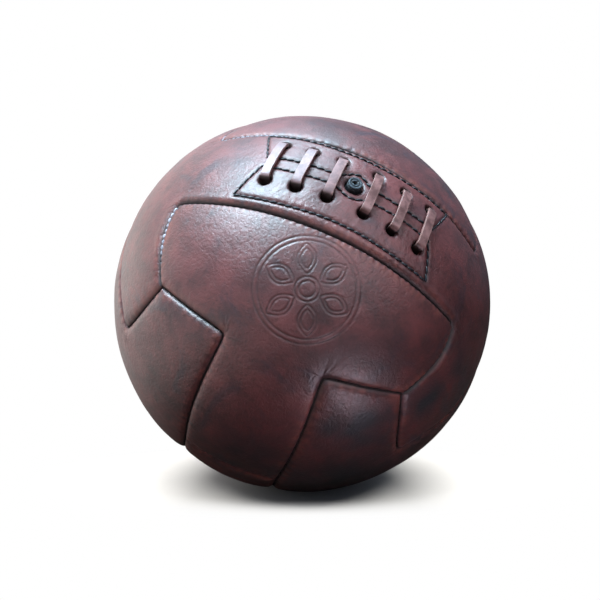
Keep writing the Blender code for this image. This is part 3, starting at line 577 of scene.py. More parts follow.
def leather(points, seed, name):
    """Height over the radius, and what the finish needs, at unit directions of one panel."""
    where = points * RADIUS
    offset = seed * np.array([17.3, 5.1, 9.7])
    height, beat, marks = seam_relief(points, seed, name)
    for noise, size, lift in LUMPS:
        height += lift * noise(where / size + offset)
    crack = cracks(where, offset)
    height -= 0.032 * crack
    add_junction_creases(height, where)

    press, blot, rim = np.zeros((3, len(points)))
    turned_out = to_row(points)
    for towards, radius, strength in BLOTS:
        far = np.linalg.norm(turned_out - unit(towards), axis=1) * RADIUS
        blot = np.maximum(blot, strength * bell(far, radius) * (1 + 0.5 * noise_b(where / 9.0)))
    if name == "front_panel":
        press = motif(points)
        height -= STAMP_DEPTH * press
    if name == LACING:
        x, y = strip_place(points)
        rim = add_lip_relief(height, x, y)
        add_hole_relief(height, rim, x, y)
    marks |= {"crease": crack, "press": press, "blot": blot, "rim": rim}
    return np.maximum(height, -2.35 + 0.08 * beat), marks


def pressed_flat(points):
    """The rest on the floor: points below it are pressed up to its level."""
    low = points[:, 2] < FLOOR_Z + 0.03
    points[low, 2] = FLOOR_Z + 0.03 + 0.02 * np.exp((points[low, 2] - FLOOR_Z) / 0.5)
    return points


# ---- Lattices of the panels ----------------------------------------------------------------------
SEAM_GAP = 0.28  # from a seam to the first lattice line
STEM_GAP = 0.12  # from a stem's seam to the last column of the bar beside it


def march(start, end, step, edges, windows):
    """Values from start to end, closer together near the edges and inside the windows.

    Each window is (centre, half width, step).
    """
    values = [start]
    while True:
        x = values[-1]
        size = min([step] + [0.14 + 0.30 * abs(x - edge) for edge in edges])
        for centre, half, fine in windows:
            size = min(size, fine + max(0.0, abs(x + size - centre) - half) * 0.12)
        if x + size * 1.4 > end:
            return np.array(values + [end])
        values.append(x + size)


def grid_quads(index):
    corners = [index[:-1, :-1], index[:-1, 1:], index[1:, 1:], index[1:, :-1]]
    return np.stack(corners, -1).reshape(-1, 4)


def outward(points, quads):
    """The quads, each wound to face away from the ball's middle."""
    a, b, c, d = (points[quads[:, k]] for k in range(4))
    wrong = (np.cross(c - a, d - b) * (a + b + c + d)).sum(-1) < 0
    quads = quads.copy()
    quads[wrong] = quads[wrong][:, ::-1]
    return quads


def lattice(place, step, stem_step=None, windows=((), (), ()), open_end=False):
    """Unit directions and quads of one T panel.

    place is (face, side, stem side). The windows are for columns, bar rows and stem rows. An open
    end runs right to the middle of the stem's face, where two stems join.
    """
    face, side, stem_side = place
    next_face = (face + 2) % 3
    edge, stem_half, stem_length = (
        angle * RADIUS for angle in (FACE_EDGE, ACROSS_ANGLE, ALONG_ANGLE)
    )
    column_windows, row_windows, stem_windows = windows
    stem_step = stem_step or step
    seams = (-edge, -stem_half)
    left = march(-edge + SEAM_GAP, -stem_half - STEM_GAP, step, seams, column_windows)
    stem_ends = (-stem_half, stem_half)
    stem = march(-stem_half + SEAM_GAP, stem_half - SEAM_GAP, stem_step, stem_ends, column_windows)
    columns = (np.concatenate([left, stem, -left[::-1]]) / RADIUS)[None, :]
    seams = (stem_half, edge)
    rows = march(stem_half + SEAM_GAP, edge - SEAM_GAP, step, seams, row_windows)
    rows = (rows / RADIUS)[:, None]
    stem_start, seams = (0.0, ()) if open_end else (SEAM_GAP, (0.0,))
    stem_rows = march(stem_start, stem_length, step, seams, stem_windows)
    stem_rows = (stem_rows[::-1] / RADIUS)[:, None]

    def low_edge(column):
        strip = column * ALONG_ANGLE / FACE_EDGE
        return unit(coords(np.tan(strip), strip_slope(face, strip), 1.0))

    def high_edge(column):
        beside_stem = np.abs(column) >= ACROSS_ANGLE
        bar = bar_end(next_face, np.maximum(np.abs(column), ACROSS_ANGLE))
        first = np.where(beside_stem, np.tan(column), ACROSS_END * column / ACROSS_ANGLE)
        return unit(coords(first, 1.0, np.where(beside_stem, bar, ALONG_END)))

    def end_edge(end):
        return unit(coords(end * bar_end(face, rows), np.tan(rows), 1.0))

    # the bar is blended between its four edges
    first, last = np.array([[-FACE_EDGE]]), np.array([[FACE_EDGE]])
    up = ((rows - ACROSS_ANGLE) / (FACE_EDGE - ACROSS_ANGLE))[..., None]
    over = ((columns + FACE_EDGE) / (2 * FACE_EDGE))[..., None]
    bar = (
        (1 - up) * low_edge(columns) + up * high_edge(columns)
        + (1 - over) * end_edge(-1) + over * end_edge(1)
        - (1 - over) * (1 - up) * low_edge(first) - over * (1 - up) * low_edge(last)
        - (1 - over) * up * high_edge(first) - over * up * high_edge(last)
    )
    share = stem / RADIUS / ACROSS_ANGLE
    stem_slope = strip_slope(next_face, stem_rows) * share[None, :]
    stem_grid = coords(stem_slope, 1.0, np.tan(stem_rows))

    local = np.concatenate([bar.reshape(-1, 3), stem_grid.reshape(-1, 3)])
    points = np.zeros_like(local)
    points[:, (face + 1) % 3] = local[:, 0]
    points[:, next_face] = local[:, 1] * stem_side
    points[:, face] = local[:, 2] * side
    points = rounded(unit(points))
    bar_index = np.arange(bar[..., 0].size).reshape(bar.shape[:2])
    stem_index = np.arange(stem_grid[..., 0].size).reshape(stem_grid.shape[:2]) + bar_index.size
    joint = bar_index[-1:, len(left) : len(left) + len(stem)]
    quads = [grid_quads(bar_index), grid_quads(np.concatenate([joint, stem_index]))]
    return points, outward(points, np.concatenate(quads))


def weld(first, second):
    """Two lattices joined where their points coincide."""
    points = np.concatenate([first[0], second[0]])
    quads = np.concatenate([first[1], second[1] + len(first[0])])
    _, keep, back = np.unique(
        np.round(points, 6), axis=0, return_index=True, return_inverse=True
    )
    return points[keep], back.reshape(-1)[quads]


def pierced(points, quads):
    """The lattice with its holes: quads inside go, and the edges left are drawn onto circles."""
    x, y = strip_place(points)
    front_side = points[:, 2] > 0.5
    for hole_x, hole_y, radius in STRIP_HOLES:
        far = np.where(front_side, np.hypot(x - hole_x, y - hole_y), 1e6)
        middle = np.hypot(x[quads].mean(1) - hole_x, y[quads].mean(1) - hole_y)
        gone = np.where(front_side[quads].all(1), middle, 1e6) < radius
        touched, kept = np.zeros((2, len(points)), bool)
        touched[quads[gone].reshape(-1)] = True
        kept[quads[~gone].reshape(-1)] = True
        snap = (touched & kept) | (kept & (far < radius))
        angle = np.arctan2(y[snap] - hole_y, x[snap] - hole_x)
        x[snap] = hole_x + radius * np.cos(angle)
        y[snap] = hole_y + radius * np.sin(angle)
        points[snap] = on_strip(x[snap], y[snap])
        quads = quads[~gone]
    used, back = np.unique(quads, return_inverse=True)
    return points[used], back.reshape(quads.shape)


# ---- Objects -------------------------------------------------------------------------------------
def make_object(name, points, faces, material, marks=None, sharp=50.0):
    """An object from row-frame points and a list of face arrays.

    Edges bent by more than sharp degrees are sharp; 0 leaves all smooth and None all flat.
    """
    mesh = bpy.data.meshes.new(name)
    loops = np.concatenate([group.reshape(-1) for group in faces]).astype(np.int32)
    sizes = np.concatenate([np.full(len(group), group.shape[1], np.int32) for group in faces])
    mesh.vertices.add(len(points))
    mesh.vertices.foreach_set("co", (points / 1000).astype(np.float32).reshape(-1))
    mesh.loops.add(len(loops))
    mesh.loops.foreach_set("vertex_index", loops)
    mesh.polygons.add(len(sizes))
    starts = np.concatenate([[0], np.cumsum(sizes)[:-1]]).astype(np.int32)
    mesh.polygons.foreach_set("loop_start", starts)
    mesh.update(calc_edges=True)
    mesh.validate()
    if sharp is not None:
        mesh.shade_smooth()
    if sharp:
        mesh.set_sharp_from_angle(angle=math.radians(sharp))
    for key, values in (marks or {}).items():
        layer = mesh.attributes.new(key, "FLOAT", "POINT")
        layer.data.foreach_set("value", np.asarray(values, np.float32))
    mesh.materials.append(material)
    obj = bpy.data.objects.new(name, mesh)
    bpy.context.scene.collection.objects.link(obj)
    return obj


def piece(obj, solid, body="ball"):
    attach(obj, body)
    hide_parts(solid)


def closed_sheet(name, points, quads, height, marks, material):
    """A panel with its sculpted outer face, walls at every edge and a plain inner face."""
    directions = to_row(points)
    outer = pressed_flat(directions * (RADIUS + height)[:, None])
    inner = directions * np.minimum(LEATHER_INNER, RADIUS + height - 0.6)[:, None]
    count = len(points)
    edges = np.concatenate([quads[:, [k, (k + 1) % 4]] for k in range(4)])
    key = edges[:, 0].astype(np.int64) * count + edges[:, 1]
    twin = edges[:, 1].astype(np.int64) * count + edges[:, 0]
    start, end = edges[~np.isin(key, twin)].T
    faces = [quads, quads[:, ::-1] + count, coords(end, start, start + count, end + count)]
    full = {key: np.concatenate([values, np.zeros(count)]) for key, values in marks.items()}
    return make_object(name, np.concatenate([outer, inner]), faces, material, full)


def ring_quads(count, sides, closed=False):
    """Quads between successive rings of points; closed joins the last ring to the first."""
    index = np.arange(count * sides).reshape(count, sides)
    index = np.hstack([index, index[:, :1]])
    if closed:
        index = np.vstack([index, index[:1]])
    return grid_quads(index)


def capped(rings, path):
    """Points, quads and end triangles of a tube whose ends close on the path's end points."""
    count, sides = rings.shape[:2]
    here = np.arange(sides)
    after = (here + 1) % sides
    tip = count * sides
    last = tip - sides
    caps = [coords(tip, after, here), coords(tip + 1, last + here, last + after)]
    points = np.concatenate([rings.reshape(-1, 3), path[:1], path[-1:]])
    return points, ring_quads(count, sides), np.concatenate(caps)


def tube(path, radius, sides):
    """A round tube along a path over the ball; the radius may vary."""
    way = unit(np.gradient(path, axis=0))
    across = unit(np.cross(way, unit(path)))
    up = np.cross(across, way)
    radius = np.broadcast_to(radius, (len(path),))[:, None, None]
    angles = (2 * math.pi * np.arange(sides) / sides)[None, :, None]
    offsets = np.cos(angles) * across[:, None, :] + np.sin(angles) * up[:, None, :]
    return capped(path[:, None, :] + radius * offsets, path)


def tapered(share, size, thinning, power):
    """Radius of a stitch at shares -1 to 1 of its half length."""
    return size * np.sqrt(np.maximum(1 - thinning * np.abs(share) ** power, 0.05))


def gathered(tubes):
    """Many tubes as one set of points and faces."""
    starts = np.cumsum([0] + [len(points) for points, _, _ in tubes])
    quads = np.concatenate([quads + start for (_, quads, _), start in zip(tubes, starts)])
    tris = np.concatenate([tris + start for (_, _, tris), start in zip(tubes, starts)])
    return np.concatenate([points for points, _, _ in tubes]), [quads, tris]


# ---- Materials -----------------------------------------------------------------------------------
class Graph:
    """Adds linked nodes to one node tree. Inputs may be sockets or plain values."""

    def __init__(self, tree):
        self.tree = tree

    def node(self, kind, inputs=None, **settings):
        made = self.tree.nodes.new(kind)
        for key, value in settings.items():
            setattr(made, key, value)
        self.feed(made, inputs or {})
        return made

    def feed(self, made, inputs):
        for key, value in inputs.items():
            if isinstance(value, bpy.types.NodeSocket):
                self.tree.links.new(value, made.inputs[key])
            else:
                made.inputs[key].default_value = value

    def maths(self, operation, first, second, clamp=False):
        inputs = {0: first, 1: second}
        made = self.node("ShaderNodeMath", inputs, operation=operation, use_clamp=clamp)
        return made.outputs[0]

    def plus(self, first, second, clamp=False):
        return self.maths("ADD", first, second, clamp)

    def times(self, first, second, clamp=False):
        return self.maths("MULTIPLY", first, second, clamp)

    def vector(self, operation, first, second=None):
        inputs = {0: first} if second is None else {0: first, 1: second}
        made = self.node("ShaderNodeVectorMath", inputs, operation=operation)
        scalar = operation in ("LENGTH", "DISTANCE", "DOT_PRODUCT")
        return made.outputs["Value" if scalar else "Vector"]

    def ramp(self, value, low, high):
        """0 to 1, smoothly, as the value goes from low to high."""
        inputs = {"Value": value, "From Min": low, "From Max": high}
        made = self.node("ShaderNodeMapRange", inputs, interpolation_type="SMOOTHSTEP")
        return made.outputs["Result"]

    def mix(self, factor, first, second):
        first, second = (
            (*colour, 1.0) if isinstance(colour, tuple) else colour for colour in (first, second)
        )
        return self.node("ShaderNodeMix", {0: factor, 6: first, 7: second}, data_type="RGBA").outputs[2]

    def cover(self, colour, mask, amount, tint, clamp=False):
        """The colour with a tint laid over it where the mask is."""
        return self.mix(self.times(mask, amount, clamp), colour, tint)

    def noise(self, place, scale, detail, rough, distortion=0.0):
        inputs = {"Vector": place, "Scale": scale, "Detail": detail}
        inputs |= {"Roughness": rough, "Distortion": distortion}
        return self.node("ShaderNodeTexNoise", inputs).outputs["Fac"]

    def voronoi(self, place, scale, feature):
        inputs = {"Vector": place, "Scale": scale}
        return self.node("ShaderNodeTexVoronoi", inputs, feature=feature).outputs["Distance"]

    def attribute(self, name):
        return self.node("ShaderNodeAttribute", attribute_name=name).outputs["Fac"]

    def place(self):
        return self.node("ShaderNodeTexCoord").outputs["Object"]

    def mapped(self, **inputs):
        return self.node("ShaderNodeMapping", {"Vector": self.place(), **inputs}).outputs[0]

    def bump(self, height, strength, depth):
        inputs = {"Height": height, "Strength": strength, "Distance": depth}
        return self.node("ShaderNodeBump", inputs).outputs[0]

    def emission(self, colour, strength):
        inputs = {"Color": (*colour, 1), "Strength": strength}
        return self.node("ShaderNodeEmission", inputs).outputs[0]

    def diffuse(self, colour):
        return self.node("ShaderNodeBsdfDiffuse", {"Color": (*colour, 1)}).outputs[0]

    def blend(self, factor, first, second):
        return self.node("ShaderNodeMixShader", {0: factor, 1: first, 2: second}).outputs[0]


def new_material(name):
    material = bpy.data.materials.new(name)
    material.use_nodes = True
    return material, Graph(material.node_tree)


def case_leather(name, seed, tone=1.0):
    """Old red-brown leather: stained, worn along the seams, and darkened inside them by dirt with
    painted shade.
    """
    material, graph = new_material(name)
    plus, times, ramp, cover = graph.plus, graph.times, graph.ramp, graph.cover
    place = graph.mapped(Location=(seed * 0.31, seed * 0.17, seed * 0.23))
    big = graph.noise(place, scale=17.0, detail=4.0, rough=0.6)
    middle = graph.noise(place, scale=75.0, detail=7.0, rough=0.62, distortion=0.4)
    fine = graph.noise(place, scale=430.0, detail=8.0, rough=0.68)
    stain = graph.noise(place, scale=30.0, detail=5.0, rough=0.6, distortion=1.6)
    scuff = graph.noise(place, scale=150.0, detail=9.0, rough=0.72, distortion=0.8)
    distance = graph.attribute("seam_distance")
    pucker = graph.attribute("pucker")

    def toned(red, green, blue):
        return red * tone, green * tone, blue * tone

    level = plus(times(big, 0.45), times(middle, 0.55))
    dark, light = toned(0.056, 0.0190, 0.0200), toned(0.167, 0.0415, 0.0405)
    colour = graph.mix(ramp(level, 0.33, 0.66), dark, light)
    colour = cover(colour, ramp(scuff, 0.54, 0.74), 0.22, tint=toned(0.27, 0.105, 0.090))
    colour = cover(colour, ramp(stain, 0.53, 0.70), 0.62, tint=(0.028, 0.024, 0.034))
    blot_edge = ramp(plus(middle, times(graph.attribute("blot"), 0.25)), 0.28, 0.58)
    colour = cover(colour, graph.attribute("blot"), blot_edge, tint=(0.017, 0.016, 0.021))
    # worn, redder edges along the seams, rubbed most on the crests between stitches
    edge = times(ramp(distance, 6.0, 1.6), ramp(distance, 0.5, 1.4))
    worn = times(edge, ramp(plus(middle, times(pucker, 0.10)), 0.38, 0.66))
    colour = cover(colour, worn, 0.55, tint=(0.24, 0.068, 0.050))
    # dirt and painted shade down in the seam grooves
    dirt_and_shade = ramp(distance, times(graph.attribute("dirt_and_shade_width"), 1.55), 0.25)
    # darkening: mask, amount, tint
    for mask, amount, tint in (
        # painted shade, with dirt, in the seam grooves
        (dirt_and_shade, 0.92, (0.006, 0.004, 0.004)),
        # painted shade along the lip furrows and round the holes
        (graph.attribute("rim"), 0.75, (0.014, 0.008, 0.008)),
        (graph.attribute("press"), 0.60, (0.018, 0.009, 0.009)),
        (graph.attribute("crease"), 0.45, (0.020, 0.010, 0.010)),
        (ramp(fine, 0.46, 0.30), 0.40, (0.016, 0.008, 0.008)),
    ):
        colour = cover(colour, mask, amount, tint)

    rough = plus(0.32, times(fine, 0.24))
    rough = plus(rough, times(ramp(stain, 0.5, 0.66), -0.05))
    rough = plus(rough, times(dirt_and_shade, 0.35), clamp=True)

    # grain, pores, a wandering crackle and scuffs
    wander_inputs = {"Vector": place, "Scale": 210.0, "Detail": 3.0}
    wander = graph.node("ShaderNodeTexNoise", wander_inputs).outputs["Color"]
    wander = graph.vector("MULTIPLY", wander, (0.0035, 0.0035, 0.0035))
    bent = graph.vector("ADD", place, wander)
    crackle = graph.voronoi(bent, scale=300.0, feature="DISTANCE_TO_EDGE")
    height = times(graph.voronoi(place, scale=820.0, feature="SMOOTH_F1"), -0.42)
    height = plus(height, times(fine, 0.70))
    height = plus(height, times(ramp(crackle, 0.0, 0.10), 0.14))
    height = plus(height, times(scuff, 0.55))
    inputs = {
        "Base Color": colour,
        "Roughness": rough,
        "Specular IOR Level": 0.80,
        "Coat Weight": 0.10,
        "Coat Roughness": 0.36,
        "Normal": graph.bump(height, strength=0.80, depth=0.00030),
    }
    graph.feed(graph.tree.nodes["Principled BSDF"], inputs)
    return material


def simple_look(
    name, low, high, scale, rough, bump_scale=900.0, bump_depth=0.0001, specular=0.5, marks=()
):
    """A look mottled between two colours; each mark is (attribute, tint, amount)."""
    material, graph = new_material(name)
    place = graph.mapped()
    mottle = graph.noise(place, scale, detail=6.0, rough=0.6, distortion=0.3)
    fine = graph.noise(place, bump_scale, detail=6.0, rough=0.6)
    colour = graph.mix(graph.ramp(mottle, 0.34, 0.66), low, high)
    for key, tint, amount in marks:
        colour = graph.cover(colour, graph.attribute(key), amount, tint, clamp=True)
    inputs = {
        "Base Color": colour,
        "Roughness": graph.plus(rough - 0.08, graph.times(fine, 0.16)),
        "Specular IOR Level": specular,
        "Normal": graph.bump(fine, strength=0.5, depth=bump_depth),
    }
    graph.feed(graph.tree.nodes["Principled BSDF"], inputs)
    return material


lace_leather = simple_look(
    "lace_leather_look", (0.105, 0.045, 0.042), (0.285, 0.140, 0.132),
    scale=210.0, rough=0.36, bump_scale=760.0, bump_depth=0.00018,
    marks=[
        # a painted sheen on the strands left of the valve
        ("painted_sheen", (0.52, 0.42, 0.47), 0.24),
        ("cut", (0.34, 0.19, 0.155), 0.50),
        # painted shade down in the holes and at the strands' ends
        ("deep", (0.012, 0.006, 0.005), 0.96),
    ],
)
black_thread = simple_look(
    "black_thread_look", (0.004, 0.005, 0.007), (0.018, 0.022, 0.030),
    scale=500.0, rough=0.42, bump_scale=2600.0, bump_depth=0.00012, specular=0.45,
)
# its pale mark is dust with a painted glint on the stitches of the laced seams
waxed_thread = simple_look(
    "waxed_thread_look", (0.012, 0.008, 0.007), (0.040, 0.026, 0.022),
    scale=60.0, rough=0.55, bump_scale=2600.0, marks=[("pale", (0.46, 0.43, 0.50), 1.0)],
)
valve_rubber = simple_look(
    "valve_rubber_look", (0.010, 0.012, 0.015), (0.030, 0.034, 0.040), scale=300.0, rough=0.5
)
# its mark paints shade into the core's bore, ring groove and dents
core_rubber = simple_look(
    "core_rubber_look", (0.016, 0.023, 0.030), (0.050, 0.068, 0.084),
    scale=400.0, rough=0.40, marks=[("hollow_shade", (0.005, 0.005, 0.006), 1.0)],
)
bladder_rubber = simple_look(
    "bladder_rubber_look", (0.020, 0.016, 0.014), (0.055, 0.040, 0.034), scale=90.0, rough=0.6
)
inner_leather = simple_look(
    "inner_leather_look", (0.050, 0.030, 0.020), (0.105, 0.064, 0.042),
    scale=120.0, rough=0.8, bump_scale=600.0, bump_depth=0.0002,
)
lining_cotton = simple_look(
    "lining_cotton_look", (0.075, 0.056, 0.042), (0.135, 0.103, 0.076),
    scale=700.0, rough=0.92, bump_scale=1800.0, bump_depth=0.0002,
)


# ---- Panels --------------------------------------------------------------------------------------
COARSENING = 1.0
MOTIF_STEP = 0.40
LACING_STEP = 0.58


def motif_windows():
    """Fine windows of the front panel's lattice, where the motif lies."""
    first, second, third = motif_out * [1, -1, 1]
    centres = (
        math.atan2(first, max(second, third)),
        math.atan2(second, third),
        math.atan2(third, second),
    )
    return [[(centre * RADIUS, MOTIF_RADIUS + 1.0, MOTIF_STEP)] for centre in centres]


def build_panel(name, seed, points, quads, tone=1.0):
    height, marks = leather(points, seed, name)
    look = case_leather(name + "_look", seed, tone)
    obj = closed_sheet(name + "_leather", points, quads, height, marks, look)
    piece(obj, name)


for seed, (name, (*place, step, tone)) in enumerate(T_PANELS.items(), 1):
    windows = motif_windows() if name == "front_panel" else ((), (), ())
    points, quads = lattice(place, step * COARSENING, windows=windows)
    build_panel(name, seed, points, quads, tone)

# the lacing panel is two T panels joined at the ends of their stems
halves = [
    lattice(
        (0, side, 1),
        1.1 * COARSENING,
        stem_step=LACING_STEP,
        windows=((), (), [(0.0, 58.0, LACING_STEP)]),
        open_end=True,
    )
    for side in SIDES
]
build_panel(LACING, LACING_SEED, *pierced(*weld(*halves)))


# ---- Seam threads --------------------------------------------------------------------------------
CORD_RADIUS, CORD_DEPTH = 0.26, 2.40
SEAM_MARGIN = 3.0  # bare length at each end of a seam
DUST_AND_GLINT_PITCH = 2.85


def sewing_runs(lines):
    """The same runs as the solid threads: which seams each thread sews, in order."""

    def key_of(point):
        return tuple(int(round(value * 1e4)) for value in point)

    left = {}  # seam ends not yet sewn, by place
    for number, line in enumerate(lines):
        for end in (0, -1):
            left.setdefault(key_of(line[end]), []).append((number, end))
    runs = []
    while any(left.values()):
        odd = [key for key, found in left.items() if len(found) % 2]
        key = min(odd or [key for key, found in left.items() if found])
        order, heading = [], np.zeros(3)
        while left[key]:
            options = []
            for number, end in left[key]:
                line = lines[number] if end == 0 else lines[number][::-1]
                straightness = float(unit(line[1] - line[0]) @ heading)
                options.append((straightness, number, end, line))
            _, number, end, line = max(options, key=lambda option: option[0])
            far = key_of(line[-1])
            left[key].remove((number, end))
            left[far].remove((number, -1 - end))
            heading = unit(line[-1] - line[-2])
            order.append(number)
            key = far
        runs.append(order)
    return runs


def dark_stitches(seam):
    """Slanting stitches across the seam, one to each beat of its puckers."""
    line, run = dense_lines[seam], seam_runs[seam]
    grid = np.arange(SEAM_MARGIN, run[-1] - SEAM_MARGIN, 0.1)
    beat = np.floor(stitch_phase(grid, seam) - 0.5)
    share = np.linspace(-1, 1, 7)
    girth = tapered(share, size=0.27, thinning=0.80, power=4)
    for place in grid[1:][beat[1:] != beat[:-1]]:
        k = min(max(int(np.searchsorted(run, place)), 1), len(line) - 1)
        here = line[k]
        way = unit(here - line[k - 1])
        slant = 0.35 + 0.2 * noise_b.at(place * 1.3, seam + 0.5)
        lean = unit(unit(np.cross(here, way)) + way * slant)
        path = here * (RADIUS - 2.35) + np.outer(share * 0.95, lean)
        yield tube(path + np.outer(0.45 - 0.55 * share**2, here), girth, 6)


def dust_and_glint(seam, here):
    """How pale the stitches are at one place of a laced seam, for dust with a painted glint."""
    x, _, z = to_row(here)
    if seam == LACED_UPPER:
        return 0.62 * float(smooth((x + 0.62) / 0.10) * smooth((0.36 - x) / 0.50))
    return float(smooth((z - 0.20) / 0.16) * smooth((0.515 - z) / 0.02)) * (x < -0.4)


def dust_and_glint_stitches(seam):
    """Pale stitches along a laced seam, where it gapes: dust with a painted glint; each with its
    paleness.
    """
    line, run = dense_lines[seam], seam_runs[seam]
    share = np.linspace(-1, 1, 7)
    for place in np.arange(SEAM_MARGIN, run[-1] - SEAM_MARGIN, DUST_AND_GLINT_PITCH):
        k = min(max(int(np.searchsorted(run, place)), 3), len(line) - 4)
        here, way = line[k], unit(line[k + 3] - line[k - 3])
        dust_glint = dust_and_glint(seam, here) * (0.86 + 0.30 * noise_a.at(place * 0.9, 5.3))
        if dust_glint <= 0.05:
            continue
        size = (0.52 if seam == LACED_UPPER else 0.78) + 0.08 * noise_b.at(place * 1.9, 0.3)
        path = here * (RADIUS - 1.95 + 1.50 * dust_glint) + np.outer(share * 1.30, way)
        path -= np.outer(0.34 * share**2, here)
        yield tube(path, tapered(share, size, thinning=0.80, power=4), 8), min(dust_glint, 1.0)


for run_number, order in enumerate(sewing_runs(coarse_lines), 1):
    parts = []  # tubes, each with its paleness
    for seam in order:
        cord = dense_lines[seam][::4] * (RADIUS - CORD_DEPTH)
        parts.append((tube(cord, CORD_RADIUS, 6), 0.0))
        parts += [(stitch, 0.0) for stitch in dark_stitches(seam)]
        if seam in (LACED_LOWER, LACED_UPPER):
            parts += dust_and_glint_stitches(seam)
    points, faces = gathered([part for part, _ in parts])
    pale = np.concatenate([np.full(len(part[0]), dust_glint) for part, dust_glint in parts])
    name = f"seam_stitches_{run_number}"
    obj = make_object(name, to_row(points), faces, waxed_thread, {"pale": pale}, sharp=0)
    piece(obj, f"seam_thread_{run_number}")


# ---- Lip stitches --------------------------------------------------------------------------------
def lip_stitches(side, name):
    """A row of stitches round one lip, lying on the leather."""
    line = LIPS[side]
    run = run_along(line)
    count = int(run[-1] / LIP_PITCH)
    share = np.linspace(-1, 1, 9)
    rows = []
    for middle in (np.arange(count) + 0.5) * run[-1] / count:
        jitter = 0.22 * noise_c.at(middle / 2.3, side + 4.4)
        half = 1.90 + 0.16 * noise_c.at(middle / 1.7, side + 9.4)
        x, y = (np.interp(middle + share * half, run, line[:, k]) for k in (0, 1))
        way = np.array([x[-1] - x[0], y[-1] - y[0]])
        way /= max(np.linalg.norm(way), 1e-6)
        lean = (0.30 + jitter * 0.5) * share
        rows.append(on_strip(x - way[1] * lean, y + way[0] * lean))
    ground, _ = leather(np.concatenate(rows), LACING_SEED, LACING)
    girth = tapered(share, size=0.52, thinning=0.72, power=3.2)
    tubes = []
    for directions, base in zip(rows, ground.reshape(-1, len(share))):
        base = base.mean() * 0.6 + base * 0.4
        rise = base + 0.40 - 0.66 * np.abs(share) ** 2.6
        tubes.append(tube(directions * (RADIUS + rise)[:, None], girth, 8))
    points, faces = gathered(tubes)
    obj = make_object(name + "_stitches", to_row(points), faces, black_thread, sharp=0)
    piece(obj, name)


lip_stitches(1, "upper_lip_thread")
lip_stitches(-1, "lower_lip_thread")


# ---- Lace ----------------------------------------------------------------------------------------
# Crossings under the leather: shares of the way to the next strand, and down to the lower row
STRAIGHT_CROSSING = [(0.12, 0.12), (0.5, 0.5), (0.88, 0.88)]
VALVE_CROSSING = [(0.04, 0.20), (0.10, 0.50), (0.24, 0.78), (0.60, 0.93), (0.86, 0.98)]
LACE_UNDER = 102.9 - RADIUS  # heights are over the ball's radius
LACE_ARCH = 2.6
LACE_TAIL = 11.0
LACE_HALF_WIDTH, LACE_HALF_THICKNESS = 2.25, 0.78
# The band's outline: place across, place through, and how much cut edge shows
LACE_SECTION = np.array([
    (-0.95, 0.97, 0.35), (-0.5, 1.0, 0), (0.0, 1.01, 0), (0.5, 1.0, 0),
    (0.95, 0.97, 0.35), (1.0, 0.86, 1), (1.0, -0.80, 0.6), (0.94, -0.97, 0),
    (0.0, -1.0, 0), (-0.94, -0.97, 0), (-1.0, -0.80, 0.6), (-1.0, 0.86, 1.0),
])


def lace_stations():
    """The lace's course, as rows of x, y and height."""
    low, high = HOLE_ROWS_Y[0] + 0.3, HOLE_ROWS_Y[1] - 0.3
    span = high - low
    tail = [(0.4 * LACE_TAIL, LACE_TAIL), (0.1 * LACE_TAIL, 0.3 * LACE_TAIL)]
    stations = [(strand_x(0) - out, low + up, LACE_UNDER) for out, up in tail]
    for k in range(STRANDS):
        x = strand_x(k)
        lift = 0.20 * noise_b.at(k * 3.3, 2.2)
        lean = 0.5 * noise_c.at(k * 2.7, 6.2)
        # half a strand: share of the lean, distance from the hole, height
        half = [
            (0, 0, LACE_UNDER),
            (0, 0, -1.5),
            (0, 0.1, 0.9),
            (0.2, 0.8, 2.1),
            (0.6, 2.8, 2.45),
            (1, span / 4, LACE_ARCH + lift),
        ]
        stations += [(x + lean * share, low + away, z) for share, away, z in half]
        stations += [(x + lean * share, high - away, z) for share, away, z in half[::-1]]
        if k < STRANDS - 1:
            step = strand_x(k + 1) - x
            crossing = VALVE_CROSSING if k == STRANDS // 2 - 1 else STRAIGHT_CROSSING
            stations += [(x + step * over, high - span * down, LACE_UNDER) for over, down in crossing]
    last = strand_x(STRANDS - 1)
    stations += [(last + out, high - down, LACE_UNDER) for out, down in tail[::-1]]
    return np.array(stations)


def corner_cut(line, times):
    for _ in range(times):
        start, end = line[:-1], line[1:]
        cut = np.empty((2 * len(start), line.shape[1]))
        cut[0::2], cut[1::2] = 0.75 * start + 0.25 * end, 0.25 * start + 0.75 * end
        line = np.concatenate([line[:1], cut, line[-1:]])
    return line


